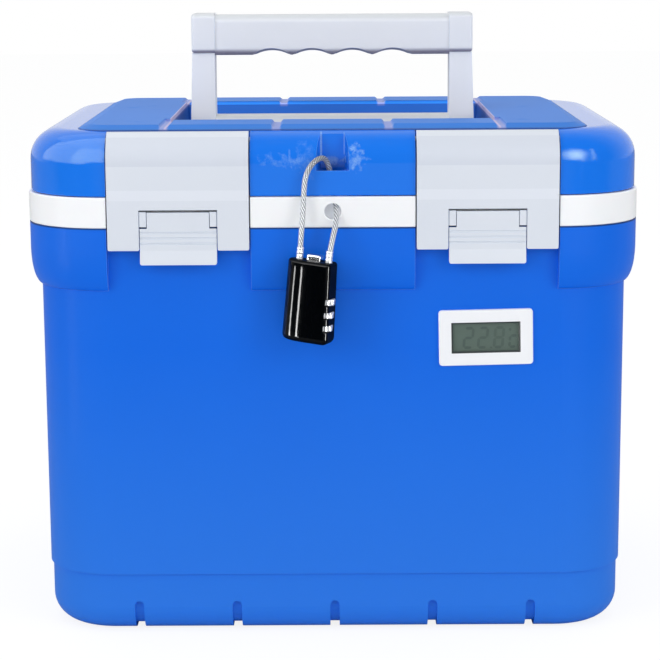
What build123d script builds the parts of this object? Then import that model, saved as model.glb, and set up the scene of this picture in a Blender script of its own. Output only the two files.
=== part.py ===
from build123d import *

import os
from math import atan2, cos, degrees, radians, sin, tan

# Insulated vaccine carrier with a hinged lid, two draw latches, a folding handle, a panel
# thermometer and a small combination cable lock.  Millimetres, +Z up, front towards -Y,
# origin at the centre of the underside.

os.makedirs("parts", exist_ok=True)

# ---------------------------------------------------------------- driving dimensions
GAP = 0.3                      # air between two pieces that move past each other
RUNNING = 0.05                 # radial clearance of a pin that turns in its bore

# outer case
CASE_W, CASE_D, CASE_R = 299.6, 217.0, 36.0
CASE_WALL = 3.0
CASE_TOP = 211.4
BASE_LINE = 32.0               # height of the step where the base is set in
BASE_INSET = 1.2
BASE_ROUND = 14.0
BASE_WALL = 4.6
SLOT_PITCH, SLOT_W, SLOT_TOP, SLOT_DEEP = 50.3, 4.8, 17.2, 2.4
SLOT_COUNT = 5
RECESS_W, RECESS_D, RECESS_DEEP = 214.0, 132.0, 1.6

# collar: the thick edge round the top of the case
COLLAR_OUT = 5.4
COLLAR_LOW, COLLAR_SHOULDER = 179.4, 197.4

# white rim band, the flange of the inner liner
BAND_W, BAND_D, BAND_R = 310.6, 228.6, 42.0
BAND_TOP = 226.7
BAND_WALL = 3.0

# chamber
ROOM_W, ROOM_D, ROOM_R = 238.0, 155.0, 14.0
ROOM_FLOOR = 34.0
LINER_WALL = 2.4
DRAFT = 0.7                    # degrees, so that the moulding leaves its tool

# lid
LID_W, LID_D, LID_R = 308.0, 226.4, 41.2
LID_LOW, LID_TOP = 227.0, 258.6
LID_WALL = 3.0
SHOULDER_R = 15.6
LINER_PANEL = 3.2
PLUG_W, PLUG_D, PLUG_R, PLUG_LOW = 232.0, 149.0, 11.0, 203.0
GASKET_W, GASKET_D, GASKET_R, GASKET_T = 256.0, 173.0, 22.0, 5.0
GASKET_GROOVE, GASKET_PROUD = 1.8, 0.2

# raised top plate with the handle well
PLATE_W, PLATE_D, PLATE_R = 256.0, 202.0, 16.0
PLATE_LOW, PLATE_TOP = 257.4, 261.0
PLATE_EDGE_DOWN, PLATE_EDGE_IN = 2.2, 6.0
WELL_W, WELL_D, WELL_R = 166.4, 131.6, 5.0
WELL_FLOOR, WELL_WALL, WELL_DRAFT = 236.5, 2.5, 4.0
DRAINS = 4
DRAIN_PITCH, DRAIN_TOP_W, DRAIN_LOW_W, DRAIN_DEEP = 56.0, 5.8, 3.0, 1.4
DRAIN_INNER, DRAIN_OUTER = 58.0, 103.0

# latches, centred at +-LATCH_X on the front
LATCH_X, LATCH_W = 76.4, 70.0
CHANNEL_W = 71.4
CHANNEL_Y = 108.5              # depth of the channel floor from the centre plane
LATCH_FACE = 115.2
LATCH_T = 3.2
LATCH_LOW = 200.4
CURL_Y, CURL_Z, CURL_R = 96.54, 242.7, 18.66
CURL_END = 37.0                # degrees from upright where the panel runs into its eye
CURL_FLOOR_R = 11.96           # channel floor behind the curl
LATCH_EYE_R, LATCH_PIN_R = 4.2, 1.2
LATCH_PIN_L = 76.4
LATCH_PIN_Y = CURL_Y + (CURL_R - LATCH_EYE_R) * sin(radians(CURL_END))
LATCH_PIN_Z = CURL_Z + (CURL_R - LATCH_EYE_R) * cos(radians(CURL_END))
FLANGE_W, FLANGE_BACK, FLANGE_END = 2.0, 109.3, 30.0

# levers
LEVER_CUT_W, LEVER_CUT_TOP = 38.8, 220.5
EAR_W, EAR_LOW, EAR_TOP = 3.7, 212.2, 219.6
EAR_GROOVE_W, EAR_GROOVE_DEEP = 0.4, 1.0
LEVER_PIN_Y, LEVER_PIN_Z, LEVER_PIN_R = 112.6, 215.4, 1.0
LEVER_PIN_L = 37.2
LEVER_EYE_R = 2.6
LEVER_SWEEP_R = 4.75           # the thumb plate is hollowed to this radius to pass the ears
LEVER_LOW, LEVER_TOP, LEVER_T, LEVER_FLARE = 193.4, 211.4, 3.0, 1.3
WEB_LOW = 208.0
TAB_TOP, TAB_T = 219.3, 2.2
CLAW_LOW, CLAW_TOP, CLAW_OUT = 203.0, 206.0, 1.2
GROOVE_HEIGHTS, GROOVE_R = (209.3, 206.6, 203.9), 0.45
CATCH_W, CATCH_LOW, CATCH_TOP, CATCH_FACE = 26.0, 206.4, 210.2, 110.7

# rear hinges, centred at +-HINGE_X on the back
HINGE_X, HINGE_W = 76.4, 60.0
HINGE_Y, HINGE_Z = 114.8, 225.2
KNUCKLE_R, HINGE_PIN_R = 4.2, 2.0
LEAF_T = 3.0
BOX_LEAF_LOW, BOX_LEAF_TOP = 192.0, 219.5
LID_LEAF_LOW, LID_LEAF_TOP = 230.0, 249.0
KNUCKLE_W = 15.0
BOX_SCREW_Z, LID_SCREW_Z = 203.0, 241.0
SCREW_SPAN = 40.0
SCREW_HEAD_R, SCREW_HEAD_T, SCREW_R = 3.2, 1.8, 1.6

# handle
PIVOT_Z = 249.4
HANDLE_TOP, GRIP_TOP, GRIP_LOW, GRIP_T = 313.0, 312.2, 290.8, 19.0
GRIP_HALF = 62.9
CAP_W, CAP_T, CAP_LOW = 12.5, 21.0, 292.0
LEG_T, LEG_OUT_TOP, LEG_OUT_LOW = 16.0, 75.2, 76.5
FINGER_PITCH, FINGER_DEEP, FINGER_TILT, FINGERS = 21.7, 3.6, 6.0, 4
BAR_T, BAR_H = 21.0, 18.0
PIVOT_R, BOSS_R, BOSS_FACE = 3.0, 5.5, 77.1
PIVOT_START, PIVOT_END = 70.0, 84.3

# lock eye in the band and cable pocket in the lid
EYE_R, EYE_Z = 4.3, 219.2
POCKET_LOW, POCKET_BACK = 239.4, 104.5
POCKET_HALF_OUT, POCKET_HALF_IN = 8.4, 5.9
CHUTE_HALF, CHUTE_FRONT = 5.0, 110.0

# thermometer, turned a little in its cut-out
THERMO_X, THERMO_Z, THERMO_TURN = 76.3, 155.0, 1.1
BEZEL_W, BEZEL_H, BEZEL_R, BEZEL_T = 47.2, 28.3, 1.8, 1.8
WINDOW_W, WINDOW_H, WINDOW_SLOPE = 34.6, 15.6, 40.0
LENS_W, LENS_H, LENS_TOP = 37.0, 17.6, 0.9
THERMO_W, THERMO_H, THERMO_DEEP, THERMO_WALL = 44.6, 25.4, 10.0, 1.4
LCD_BACK, BOARD_BACK = 2.0, 3.2
CELL_X, CELL_R, CELL_T = 8.0, 5.8, 5.4
GROMMET_R, GROMMET_FLANGE_R = 4.0, 6.0
PROBE_R, PROBE_TIP = 2.2, 64.0

# cold packs
PACK_W, PACK_T, PACK_H, PACK_R = 120.0, 24.0, 158.0, 8.0
PACK_CAP_R, PACK_CAP_T = 8.0, 5.0
PACK_X, PACK_Y = 103.5, 62.5

# padlock: its own turned and leaning frame
LOCK_CENTRE = (-11.3, -125.2, 175.8)
LOCK_TURN, LOCK_LEAN = -19.0, 5.5
LOCK_LEFT, LOCK_RIGHT, LOCK_RIGHT_LOW = -11.0, 10.4, 12.4
LOCK_LOW, LOCK_TOP, LOCK_T = -19.5, 21.0, 13.2
LOCK_BARREL, LOCK_R, LOCK_LOW_R, LOCK_TOP_R = 10.0, 2.0, 3.0, 1.5
DIAL_U, DIAL_V, DIAL_R, DIAL_T = 6.7, 0.0, 5.8, 3.1
DIAL_HEIGHTS = (1.8, -4.7, -11.2)
DIAL_GAP = 0.2
DIAL_WINDOW = 9.5              # the windows open round the front right edge from this u
SPINDLE_R, SPINDLE_LOW, SPINDLE_TOP = 1.2, -15.5, 5.6
SOCKET_U, FERRULE_R, FERRULE_LOW, FERRULE_TOP = 7.6, 2.2, 17.0, 27.5
BUTTON_U, BUTTON_W, BUTTON_T, BUTTON_UP, BUTTON_DOWN = 0.4, 7.2, 6.0, 3.0, 4.0
CABLE_D = 2.9
CABLE_ROUTE = [
    (-16.1, -122.7, 200.9), (-15.5, -121.7, 210.0), (-14.6, -118.9, 219.5),
    (-14.2, -117.2, 229.5), (-13.3, -116.6, 238.0), (-9.2, -117.0, 244.6),
    (-4.0, -111.1, 246.3), (-1.6, -107.2, 240.4), (-0.2, -107.0, 231.5),
    (1.6, -108.9, 222.2), (1.9, -114.2, 218.8), (1.4, -119.5, 213.2),
    (-0.3, -125.0, 207.0), (-1.8, -127.7, 199.5),
]

SIDES = (("left", -1), ("right", 1))


# ---------------------------------------------------------------- helpers
def save(builder, name):
    """Label a finished piece and write it as its own STEP file."""
    builder.part.label = name
    export_step(builder.part, f"parts/{name}.step")


def rounded_block(width, depth, radius, low, high, taper=0.0, mode=Mode.ADD):
    """Upright block with rounded corners, centred on the Z axis."""
    with BuildSketch(Plane.XY.offset(low)) as outline:
        RectangleRounded(width, depth, radius)
    extrude(outline.sketch, amount=high - low, taper=taper, mode=mode)


def hanging_block(width, depth, radius, high, low, taper, mode=Mode.ADD):
    """Block with rounded corners that narrows downwards from its top outline."""
    with BuildSketch(Plane.XY.offset(high)) as outline:
        RectangleRounded(width, depth, radius)
    extrude(outline.sketch, amount=-(high - low), taper=taper, mode=mode)


def box_between(x, y, z, mode=Mode.ADD):
    """Box given by its (low, high) pairs along X, Y and Z."""
    with BuildSketch(Plane.XY.offset(z[0])) as outline:
        with Locations(((x[0] + x[1]) / 2, (y[0] + y[1]) / 2)):
            Rectangle(x[1] - x[0], y[1] - y[0])
    extrude(outline.sketch, amount=z[1] - z[0], mode=mode)


def rod(start, direction, radius, length, mode=Mode.ADD):
    """Round rod from a point along a direction."""
    with BuildSketch(Plane(origin=start, z_dir=direction)) as outline:
        Circle(radius)
    extrude(outline.sketch, amount=length, mode=mode)


def end_face(builder, side):
    """Face that lies farthest out along X on the given side."""
    faces = builder.faces().sort_by(Axis.X)
    return faces[-1] if side > 0 else faces[0]


def channels(grow, width, y_sign, z, mode):
    """The two upright channels in the front (y_sign -1) or back face, grown by grow."""
    floor = CHANNEL_Y - grow
    for _, side in SIDES:
        centre = side * LATCH_X
        half = width / 2 + grow
        y_pair = sorted((y_sign * floor, y_sign * 130.0))
        box_between((centre - half, centre + half), y_pair, z, mode)


# ---------------------------------------------------------------- outer case
with BuildPart() as base_form:
    rounded_block(
        CASE_W - 2 * BASE_INSET, CASE_D - 2 * BASE_INSET, CASE_R - BASE_INSET, 0, BASE_LINE
    )
    fillet(base_form.faces().sort_by(Axis.Z)[0].edges(), BASE_ROUND)

# the same form set in by the depth of the foot slots
with BuildPart() as base_core:
    core_inset = 2 * (BASE_INSET + SLOT_DEEP)
    rounded_block(
        CASE_W - core_inset, CASE_D - core_inset, CASE_R - core_inset / 2,
        SLOT_DEEP, BASE_LINE,
    )
    fillet(base_core.faces().sort_by(Axis.Z)[0].edges(), BASE_ROUND - SLOT_DEEP)

# foot slots: round-topped blades that only bite into the skin of the base
with BuildPart() as foot_slots:
    for step in range(SLOT_COUNT):
        slot_x = (step - (SLOT_COUNT - 1) / 2) * SLOT_PITCH
        with BuildSketch(Plane.XZ) as blade:
            with Locations((slot_x, (SLOT_TOP - SLOT_W / 2 - 1) / 2)):
                Rectangle(SLOT_W, SLOT_TOP - SLOT_W / 2 + 1)
            with Locations((slot_x, SLOT_TOP - SLOT_W / 2)):
                Circle(SLOT_W / 2)
        extrude(blade.sketch, amount=CASE_D / 2 + 2, both=True)
    add(base_core.part, mode=Mode.SUBTRACT)
    box_between((-200, 200), (-88, 88), (-2, 40), Mode.SUBTRACT)

# the foam space inside the case
with BuildPart() as case_room:
    rounded_block(
        CASE_W - 2 * CASE_WALL, CASE_D - 2 * CASE_WALL, CASE_R - CASE_WALL,
        BASE_LINE, CASE_TOP,
    )
    low_inset = 2 * (BASE_INSET + BASE_WALL)
    rounded_block(
        CASE_W - low_inset, CASE_D - low_inset, CASE_R - low_inset / 2,
        BASE_WALL, BASE_LINE,
    )
    fillet(case_room.faces().sort_by(Axis.Z)[0].edges(), BASE_ROUND - BASE_WALL)

# collar: one section carried round the case, elliptical below, upright above
with BuildLine(Plane.XY.offset(COLLAR_SHOULDER)) as collar_path:
    FilletPolyline(
        (CASE_W / 2, 0), (CASE_W / 2, CASE_D / 2), (-CASE_W / 2, CASE_D / 2),
        (-CASE_W / 2, -CASE_D / 2), (CASE_W / 2, -CASE_D / 2), (CASE_W / 2, -1),
        radius=CASE_R,
    )
    Line((CASE_W / 2, -1), (CASE_W / 2, 0))
with BuildPart() as collar:
    with BuildSketch(Plane((CASE_W / 2, 0, COLLAR_SHOULDER), (1, 0, 0), (0, -1, 0))):
        with BuildLine():
            drop = COLLAR_SHOULDER - COLLAR_LOW
            rise = CASE_TOP - COLLAR_SHOULDER
            Line((-1.0, -drop), (0, -drop))
            EllipticalCenterArc((0, 0), COLLAR_OUT, drop, start_angle=270, arc_size=90)
            Line((COLLAR_OUT, 0), (COLLAR_OUT, rise))
            Line((COLLAR_OUT, rise), (-1.0, rise))
            Line((-1.0, rise), (-1.0, -drop))
        make_face()
    sweep(path=collar_path.line)
    channels(0, CHANNEL_W, -1, (COLLAR_LOW - 5, CASE_TOP + 1), Mode.SUBTRACT)
    channels(0, HINGE_W + 1.4, 1, (COLLAR_LOW - 5, CASE_TOP + 1), Mode.SUBTRACT)

thermo_plane = Plane(
    origin=(THERMO_X, -CHANNEL_Y, THERMO_Z),
    x_dir=Vector(1, 0, 0).rotate(Axis.Y, -THERMO_TURN),
    z_dir=(0, -1, 0),
)

with BuildPart() as outer_shell:
    add(base_form.part)
    rounded_block(CASE_W, CASE_D, CASE_R, BASE_LINE, CASE_TOP)
    add(collar.part)
    add(foot_slots.part, mode=Mode.SUBTRACT)
    add(case_room.part, mode=Mode.SUBTRACT)
    # shallow channel under the base, round a centre pad
    with BuildSketch() as under_channel:
        RectangleRounded(RECESS_W, RECESS_D, 12)
        RectangleRounded(RECESS_W - 16, RECESS_D - 16, 6, mode=Mode.SUBTRACT)
    extrude(under_channel.sketch, amount=RECESS_DEEP, mode=Mode.SUBTRACT)
    # cut-out for the thermometer
    with BuildSketch(thermo_plane) as thermo_hole:
        Rectangle(THERMO_W + 2 * GAP, THERMO_H + 2 * GAP)
    extrude(thermo_hole.sketch, amount=-CASE_WALL - 1, mode=Mode.SUBTRACT)
    # catch ribs for the levers, with a sloped top
    for _, side in SIDES:
        with BuildSketch(Plane.YZ.offset(side * LATCH_X - CATCH_W / 2)) as rib:
            Polygon(
                (-CHANNEL_Y + 0.5, CATCH_LOW), (-CATCH_FACE, CATCH_LOW + 0.5),
                (-CATCH_FACE, CATCH_TOP - 2.2), (-CHANNEL_Y + 0.5, CATCH_TOP),
                align=None,
            )
        extrude(rib.sketch, amount=CATCH_W)
        # screw holes for the box-side hinge leaves
        for across in (-SCREW_SPAN / 2, SCREW_SPAN / 2):
            rod(
                (side * HINGE_X + across, CHANNEL_Y - CASE_WALL - 1, BOX_SCREW_Z), (0, 1, 0),
                SCREW_R, CASE_WALL + 2, Mode.SUBTRACT,
            )
save(outer_shell, "outer_shell")

# ---------------------------------------------------------------- inner liner and rim band
with BuildPart() as room:
    hanging_block(ROOM_W, ROOM_D, ROOM_R, BAND_TOP, ROOM_FLOOR, DRAFT)
    fillet(room.faces().sort_by(Axis.Z)[0].edges(), 5)

with BuildPart() as liner_form:
    hanging_block(
        ROOM_W + 2 * LINER_WALL, ROOM_D + 2 * LINER_WALL, ROOM_R + LINER_WALL,
        BAND_TOP, ROOM_FLOOR - LINER_WALL, DRAFT,
    )
    fillet(liner_form.faces().sort_by(Axis.Z)[0].edges(), 5 + LINER_WALL)

# the foam space under the rim band
with BuildPart() as band_room:
    rounded_block(
        BAND_W - 2 * BAND_WALL, BAND_D - 2 * BAND_WALL, BAND_R - BAND_WALL,
        CASE_TOP, BAND_TOP - BAND_WALL,
    )
    channels(BAND_WALL, CHANNEL_W, -1, (200, 240), Mode.SUBTRACT)
    channels(BAND_WALL, HINGE_W + 1.4, 1, (200, 240), Mode.SUBTRACT)
    box_between((-10, 10), (-130, -101.5), (200, 240), Mode.SUBTRACT)

with BuildPart() as inner_liner:
    rounded_block(BAND_W, BAND_D, BAND_R, CASE_TOP, BAND_TOP)
    fillet(inner_liner.faces().filter_by(Axis.Z).edges(), 0.8)
    add(liner_form.part)
    channels(0, CHANNEL_W, -1, (200, 240), Mode.SUBTRACT)
    channels(0, HINGE_W + 1.4, 1, (200, 240), Mode.SUBTRACT)
    add(band_room.part, mode=Mode.SUBTRACT)
    add(liner_form.part)
    add(room.part, mode=Mode.SUBTRACT)
    # cable pocket behind the lock eye, open at the top
    box_between((-7, 7), (-111.3, -103.5), (213.6, 240), Mode.SUBTRACT)
    rod((0, -120, EYE_Z), (0, 1, 0), EYE_R, 12, Mode.SUBTRACT)
    # hole for the thermometer's probe grommet
    rod((THERMO_X, -90, THERMO_Z), (0, 1, 0), GROMMET_R, 20, Mode.SUBTRACT)
save(inner_liner, "inner_liner")

with BuildPart() as box_insulation:
    add(case_room.part)
    add(band_room.part)
    add(liner_form.part, mode=Mode.SUBTRACT)
    add(inner_liner.part, mode=Mode.SUBTRACT)
    with BuildSketch(thermo_plane) as thermo_space:
        Rectangle(THERMO_W + 2 * GAP, THERMO_H + 2 * GAP)
    extrude(thermo_space.sketch, amount=-THERMO_DEEP - GAP, mode=Mode.SUBTRACT)
    rod((THERMO_X, -105, THERMO_Z), (0, 1, 0), PROBE_R, 30, Mode.SUBTRACT)
    rod((THERMO_X, -82, THERMO_Z), (0, 1, 0), GROMMET_R, 6, Mode.SUBTRACT)
save(box_insulation, "box_insulation")

# ---------------------------------------------------------------- rear hinges
hinge_axis = (HINGE_Y, HINGE_Z)
for name, side in SIDES:
    start_x = side * HINGE_X - HINGE_W / 2
    end_x = side * HINGE_X + HINGE_W / 2
    centre_low = side * HINGE_X - KNUCKLE_W / 2
    centre_high = side * HINGE_X + KNUCKLE_W / 2

    # box leaf: plate with a knuckle at each end
    with BuildPart() as box_leaf:
        box_between((start_x, end_x), (CHANNEL_Y, CHANNEL_Y + LEAF_T), (BOX_LEAF_LOW, BOX_LEAF_TOP))
        fillet(box_leaf.edges().filter_by(Axis.Y).group_by(Axis.Z)[0], 3)
        with BuildSketch(Plane.YZ.offset(start_x)) as box_arm:
            with Locations(hinge_axis):
                Circle(KNUCKLE_R)
            with Locations((CHANNEL_Y + LEAF_T / 2, BOX_LEAF_TOP - 1.5)):
                Rectangle(LEAF_T, 3)
            make_hull()
        extrude(box_arm.sketch, amount=HINGE_W)
        box_between(
            (centre_low - GAP, centre_high + GAP), (100, 130), (BOX_LEAF_TOP, 240), Mode.SUBTRACT
        )
        box_between(
            (centre_low - GAP, centre_high + GAP), (CHANNEL_Y + LEAF_T, 130),
            (BOX_LEAF_TOP - 4, 240), Mode.SUBTRACT,
        )
        rod((start_x, HINGE_Y, HINGE_Z), (1, 0, 0), HINGE_PIN_R, HINGE_W, Mode.SUBTRACT)
        for across in (-SCREW_SPAN / 2, SCREW_SPAN / 2):
            rod(
                (side * HINGE_X + across, CHANNEL_Y, BOX_SCREW_Z), (0, 1, 0),
                SCREW_R, LEAF_T, Mode.SUBTRACT,
            )
    save(box_leaf, f"hinge_leaf_box_{name}")

    # lid leaf: plate with one knuckle in the middle
    with BuildPart() as lid_leaf:
        box_between((start_x, end_x), (CHANNEL_Y, CHANNEL_Y + LEAF_T), (LID_LEAF_LOW, LID_LEAF_TOP))
        fillet(lid_leaf.edges().filter_by(Axis.Y).group_by(Axis.Z)[-1], 3)
        with BuildSketch(Plane.YZ.offset(centre_low)) as lid_arm:
            with Locations(hinge_axis):
                Circle(KNUCKLE_R)
            with Locations((CHANNEL_Y + LEAF_T / 2, LID_LEAF_LOW + 2)):
                Rectangle(LEAF_T, 4)
            make_hull()
        extrude(lid_arm.sketch, amount=KNUCKLE_W)
        rod(
            (start_x, HINGE_Y, HINGE_Z), (1, 0, 0),
            HINGE_PIN_R + RUNNING, HINGE_W, Mode.SUBTRACT,
        )
        for across in (-SCREW_SPAN / 2, SCREW_SPAN / 2):
            rod(
                (side * HINGE_X + across, CHANNEL_Y, LID_SCREW_Z), (0, 1, 0),
                SCREW_R, LEAF_T, Mode.SUBTRACT,
            )
    save(lid_leaf, f"hinge_leaf_lid_{name}")

    with BuildPart() as hinge_pin:
        rod((start_x, HINGE_Y, HINGE_Z), (1, 0, 0), HINGE_PIN_R, HINGE_W)
    save(hinge_pin, f"hinge_pin_{name}")

# pan-head screws through the leaves
with BuildPart() as screw:
    rod((0, CHANNEL_Y + LEAF_T, 0), (0, 1, 0), SCREW_HEAD_R, SCREW_HEAD_T)
    fillet(screw.edges().group_by(Axis.Y)[-1], 1.0)
    rod((0, CHANNEL_Y + LEAF_T, 0), (0, -1, 0), SCREW_R, LEAF_T + CASE_WALL)

for owner, screw_z in (("box", BOX_SCREW_Z), ("lid", LID_SCREW_Z)):
    with BuildPart() as screws:
        for _, side in SIDES:
            near, far = side * HINGE_X - SCREW_SPAN / 2, side * HINGE_X + SCREW_SPAN / 2
            with Locations((near, 0, screw_z), (far, 0, screw_z)):
                add(screw.part)
    save(screws, f"hinge_screws_{owner}")

# ---------------------------------------------------------------- lid
with BuildPart() as lid_form:
    rounded_block(LID_W, LID_D, LID_R, LID_LOW, LID_TOP)
    fillet(lid_form.faces().sort_by(Axis.Z)[-1].edges(), SHOULDER_R)
    fillet(lid_form.faces().sort_by(Axis.Z)[0].edges(), 0.8)


def latch_channels(grow, mode):
    """Channels the latches lie in: upright below, following the curl of the latch above."""
    half = CHANNEL_W / 2 + grow
    for _, side in SIDES:
        with BuildSketch(Plane.YZ.offset(side * LATCH_X - half)) as profile:
            with Locations((-(130 + CHANNEL_Y - grow) / 2, (220 + CURL_Z) / 2)):
                Rectangle(130 - CHANNEL_Y + grow, CURL_Z - 220)
            with Locations((-(130 + PLATE_D / 2 - grow) / 2, (CURL_Z + 270) / 2)):
                Rectangle(130 - PLATE_D / 2 + grow, 270 - CURL_Z)
            with Locations((-CURL_Y, CURL_Z)):
                Circle(CURL_FLOOR_R - grow, mode=Mode.SUBTRACT)
            with Locations((-LATCH_PIN_Y, LATCH_PIN_Z)):
                Circle(LATCH_EYE_R + GAP + grow)
        extrude(profile.sketch, amount=2 * half, mode=mode)


def cable_pocket(grow, mode):
    """Pocket and chute in the lid front for the lock cable."""
    with BuildSketch(Plane.XY.offset(POCKET_LOW - grow)) as mouth:
        Polygon(
            (-POCKET_HALF_OUT - grow, -LID_D / 2 - 1), (POCKET_HALF_OUT + grow, -LID_D / 2 - 1),
            (POCKET_HALF_IN + grow, -POCKET_BACK + grow),
            (-POCKET_HALF_IN - grow, -POCKET_BACK + grow),
            align=None,
        )
    extrude(mouth.sketch, amount=30, mode=mode)
    half = CHUTE_HALF + grow
    box_between(
        (-half, half), (-CHUTE_FRONT - grow, -POCKET_BACK + grow), (220, POCKET_LOW + 1), mode
    )


with BuildPart() as lid_void:
    rounded_block(
        LID_W - 2 * LID_WALL, LID_D - 2 * LID_WALL, LID_R - LID_WALL,
        LID_LOW, LID_TOP - LID_WALL,
    )
    fillet(lid_void.faces().sort_by(Axis.Z)[-1].edges(), SHOULDER_R - LID_WALL)
    latch_channels(LID_WALL, Mode.SUBTRACT)
    channels(LID_WALL, HINGE_W + 1.4, 1, (220, 270), Mode.SUBTRACT)
    cable_pocket(LID_WALL, Mode.SUBTRACT)

# outside of the handle well
with BuildPart() as basin:
    hanging_block(
        WELL_W + 2 * WELL_WALL, WELL_D + 2 * WELL_WALL, WELL_R + WELL_WALL,
        PLATE_LOW, WELL_FLOOR - WELL_WALL, WELL_DRAFT,
    )
    fillet(basin.faces().sort_by(Axis.Z)[0].edges(), 6)

with BuildPart() as lid_shell:
    add(lid_form.part)
    latch_channels(0, Mode.SUBTRACT)
    channels(0, HINGE_W + 1.4, 1, (220, 270), Mode.SUBTRACT)
    cable_pocket(0, Mode.SUBTRACT)
    add(lid_void.part, mode=Mode.SUBTRACT)
    add(basin.part, mode=Mode.SUBTRACT)
    # rebate for the top plate
    rounded_block(PLATE_W, PLATE_D, PLATE_R, PLATE_LOW, 270, mode=Mode.SUBTRACT)
    for _, side in SIDES:
        # bores for the latch pins
        rod(
            (side * LATCH_X - LATCH_PIN_L / 2, -LATCH_PIN_Y, LATCH_PIN_Z), (1, 0, 0),
            LATCH_PIN_R, LATCH_PIN_L, Mode.SUBTRACT,
        )
        # screw holes for the lid-side hinge leaves
        for across in (-SCREW_SPAN / 2, SCREW_SPAN / 2):
            rod(
                (side * HINGE_X + across, CHANNEL_Y - LID_WALL - 1, LID_SCREW_Z), (0, 1, 0),
                SCREW_R, LID_WALL + 2, Mode.SUBTRACT,
            )
save(lid_shell, "lid_shell")

with BuildPart() as well:
    hanging_block(WELL_W, WELL_D, WELL_R, PLATE_TOP, WELL_FLOOR, WELL_DRAFT)
    fillet(well.faces().sort_by(Axis.Z)[0].edges(), 4)

# drain channels through the front and back rims of the plate
with BuildPart() as drains:
    for step in range(DRAINS):
        drain_x = (step - (DRAINS - 1) / 2) * DRAIN_PITCH
        with BuildSketch(Plane.XZ) as drain:
            Polygon(
                (drain_x - DRAIN_LOW_W / 2, PLATE_TOP - DRAIN_DEEP),
                (drain_x + DRAIN_LOW_W / 2, PLATE_TOP - DRAIN_DEEP),
                (drain_x + DRAIN_TOP_W / 2, PLATE_TOP),
                (drain_x - DRAIN_TOP_W / 2, PLATE_TOP),
                align=None,
            )
        extrude(drain.sketch, amount=DRAIN_OUTER, both=True)
    box_between((-200, 200), (-DRAIN_INNER, DRAIN_INNER), (200, 300), Mode.SUBTRACT)

with BuildPart() as handle_tray:
    rounded_block(PLATE_W, PLATE_D, PLATE_R, PLATE_LOW, PLATE_TOP - PLATE_EDGE_DOWN)
    rounded_block(
        PLATE_W, PLATE_D, PLATE_R, PLATE_TOP - PLATE_EDGE_DOWN, PLATE_TOP,
        taper=degrees(atan2(PLATE_EDGE_IN, PLATE_EDGE_DOWN)),
    )
    add(basin.part)
    add(well.part, mode=Mode.SUBTRACT)
    add(drains.part, mode=Mode.SUBTRACT)
    # pivot bosses for the handle on the end walls of the well
    for _, side in SIDES:
        rod(
            (side * BOSS_FACE, 0, PIVOT_Z), (side, 0, 0), BOSS_R, WELL_W / 2 - BOSS_FACE,
        )
        rod(
            (side * BOSS_FACE, 0, PIVOT_Z), (side, 0, 0),
            PIVOT_R + RUNNING, PIVOT_END + GAP - BOSS_FACE, Mode.SUBTRACT,
        )
save(handle_tray, "handle_tray")

# white inner panel of the lid with the plug that drops into the chamber
with BuildPart() as lid_liner:
    add(lid_void.part)
    box_between((-200, 200), (-150, 150), (LID_LOW + LINER_PANEL, 300), Mode.SUBTRACT)
    hanging_block(PLUG_W, PLUG_D, PLUG_R, LID_LOW + LINER_PANEL, PLUG_LOW, DRAFT)
    fillet(lid_liner.faces().sort_by(Axis.Z)[0].edges(), 4)
    hanging_block(
        PLUG_W - 2 * LINER_WALL, PLUG_D - 2 * LINER_WALL, PLUG_R - LINER_WALL,
        LID_LOW + LINER_PANEL, PLUG_LOW + LINER_WALL, DRAFT, Mode.SUBTRACT,
    )
    with BuildSketch(Plane.XY.offset(LID_LOW)) as groove:
        RectangleRounded(GASKET_W, GASKET_D, GASKET_R)
        RectangleRounded(
            GASKET_W - 2 * GASKET_T, GASKET_D - 2 * GASKET_T, GASKET_R - GASKET_T,
            mode=Mode.SUBTRACT,
        )
    extrude(groove.sketch, amount=GASKET_GROOVE, mode=Mode.SUBTRACT)
save(lid_liner, "lid_liner")

with BuildPart() as lid_gasket:
    extrude(groove.sketch, amount=GASKET_GROOVE)
    extrude(groove.sketch, amount=-GASKET_PROUD)
save(lid_gasket, "lid_gasket")

with BuildPart() as lid_insulation:
    add(lid_void.part)
    box_between((-200, 200), (-150, 150), (200, LID_LOW + LINER_PANEL), Mode.SUBTRACT)
    hanging_block(
        PLUG_W - 2 * LINER_WALL, PLUG_D - 2 * LINER_WALL, PLUG_R - LINER_WALL,
        LID_LOW + LINER_PANEL, PLUG_LOW + LINER_WALL, DRAFT,
    )
    add(basin.part, mode=Mode.SUBTRACT)
save(lid_insulation, "lid_insulation")


# ---------------------------------------------------------------- latches and levers
def curl_strip(outer_r, inner_r, end, low):
    """Face of an upright strip that runs into an arc; end is degrees short of upright."""
    centre = (-CURL_Y, CURL_Z)
    with BuildSketch() as strip:
        with BuildLine():
            outer_arc = CenterArc(centre, outer_r, 180, end - 90)
            inner_arc = CenterArc(centre, inner_r, 180, end - 90)
            Line(outer_arc @ 1, inner_arc @ 1)
            Polyline(
                inner_arc @ 0, (-CURL_Y - inner_r, low), (-CURL_Y - outer_r, low), outer_arc @ 0
            )
        make_face()
    return strip.sketch


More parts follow.
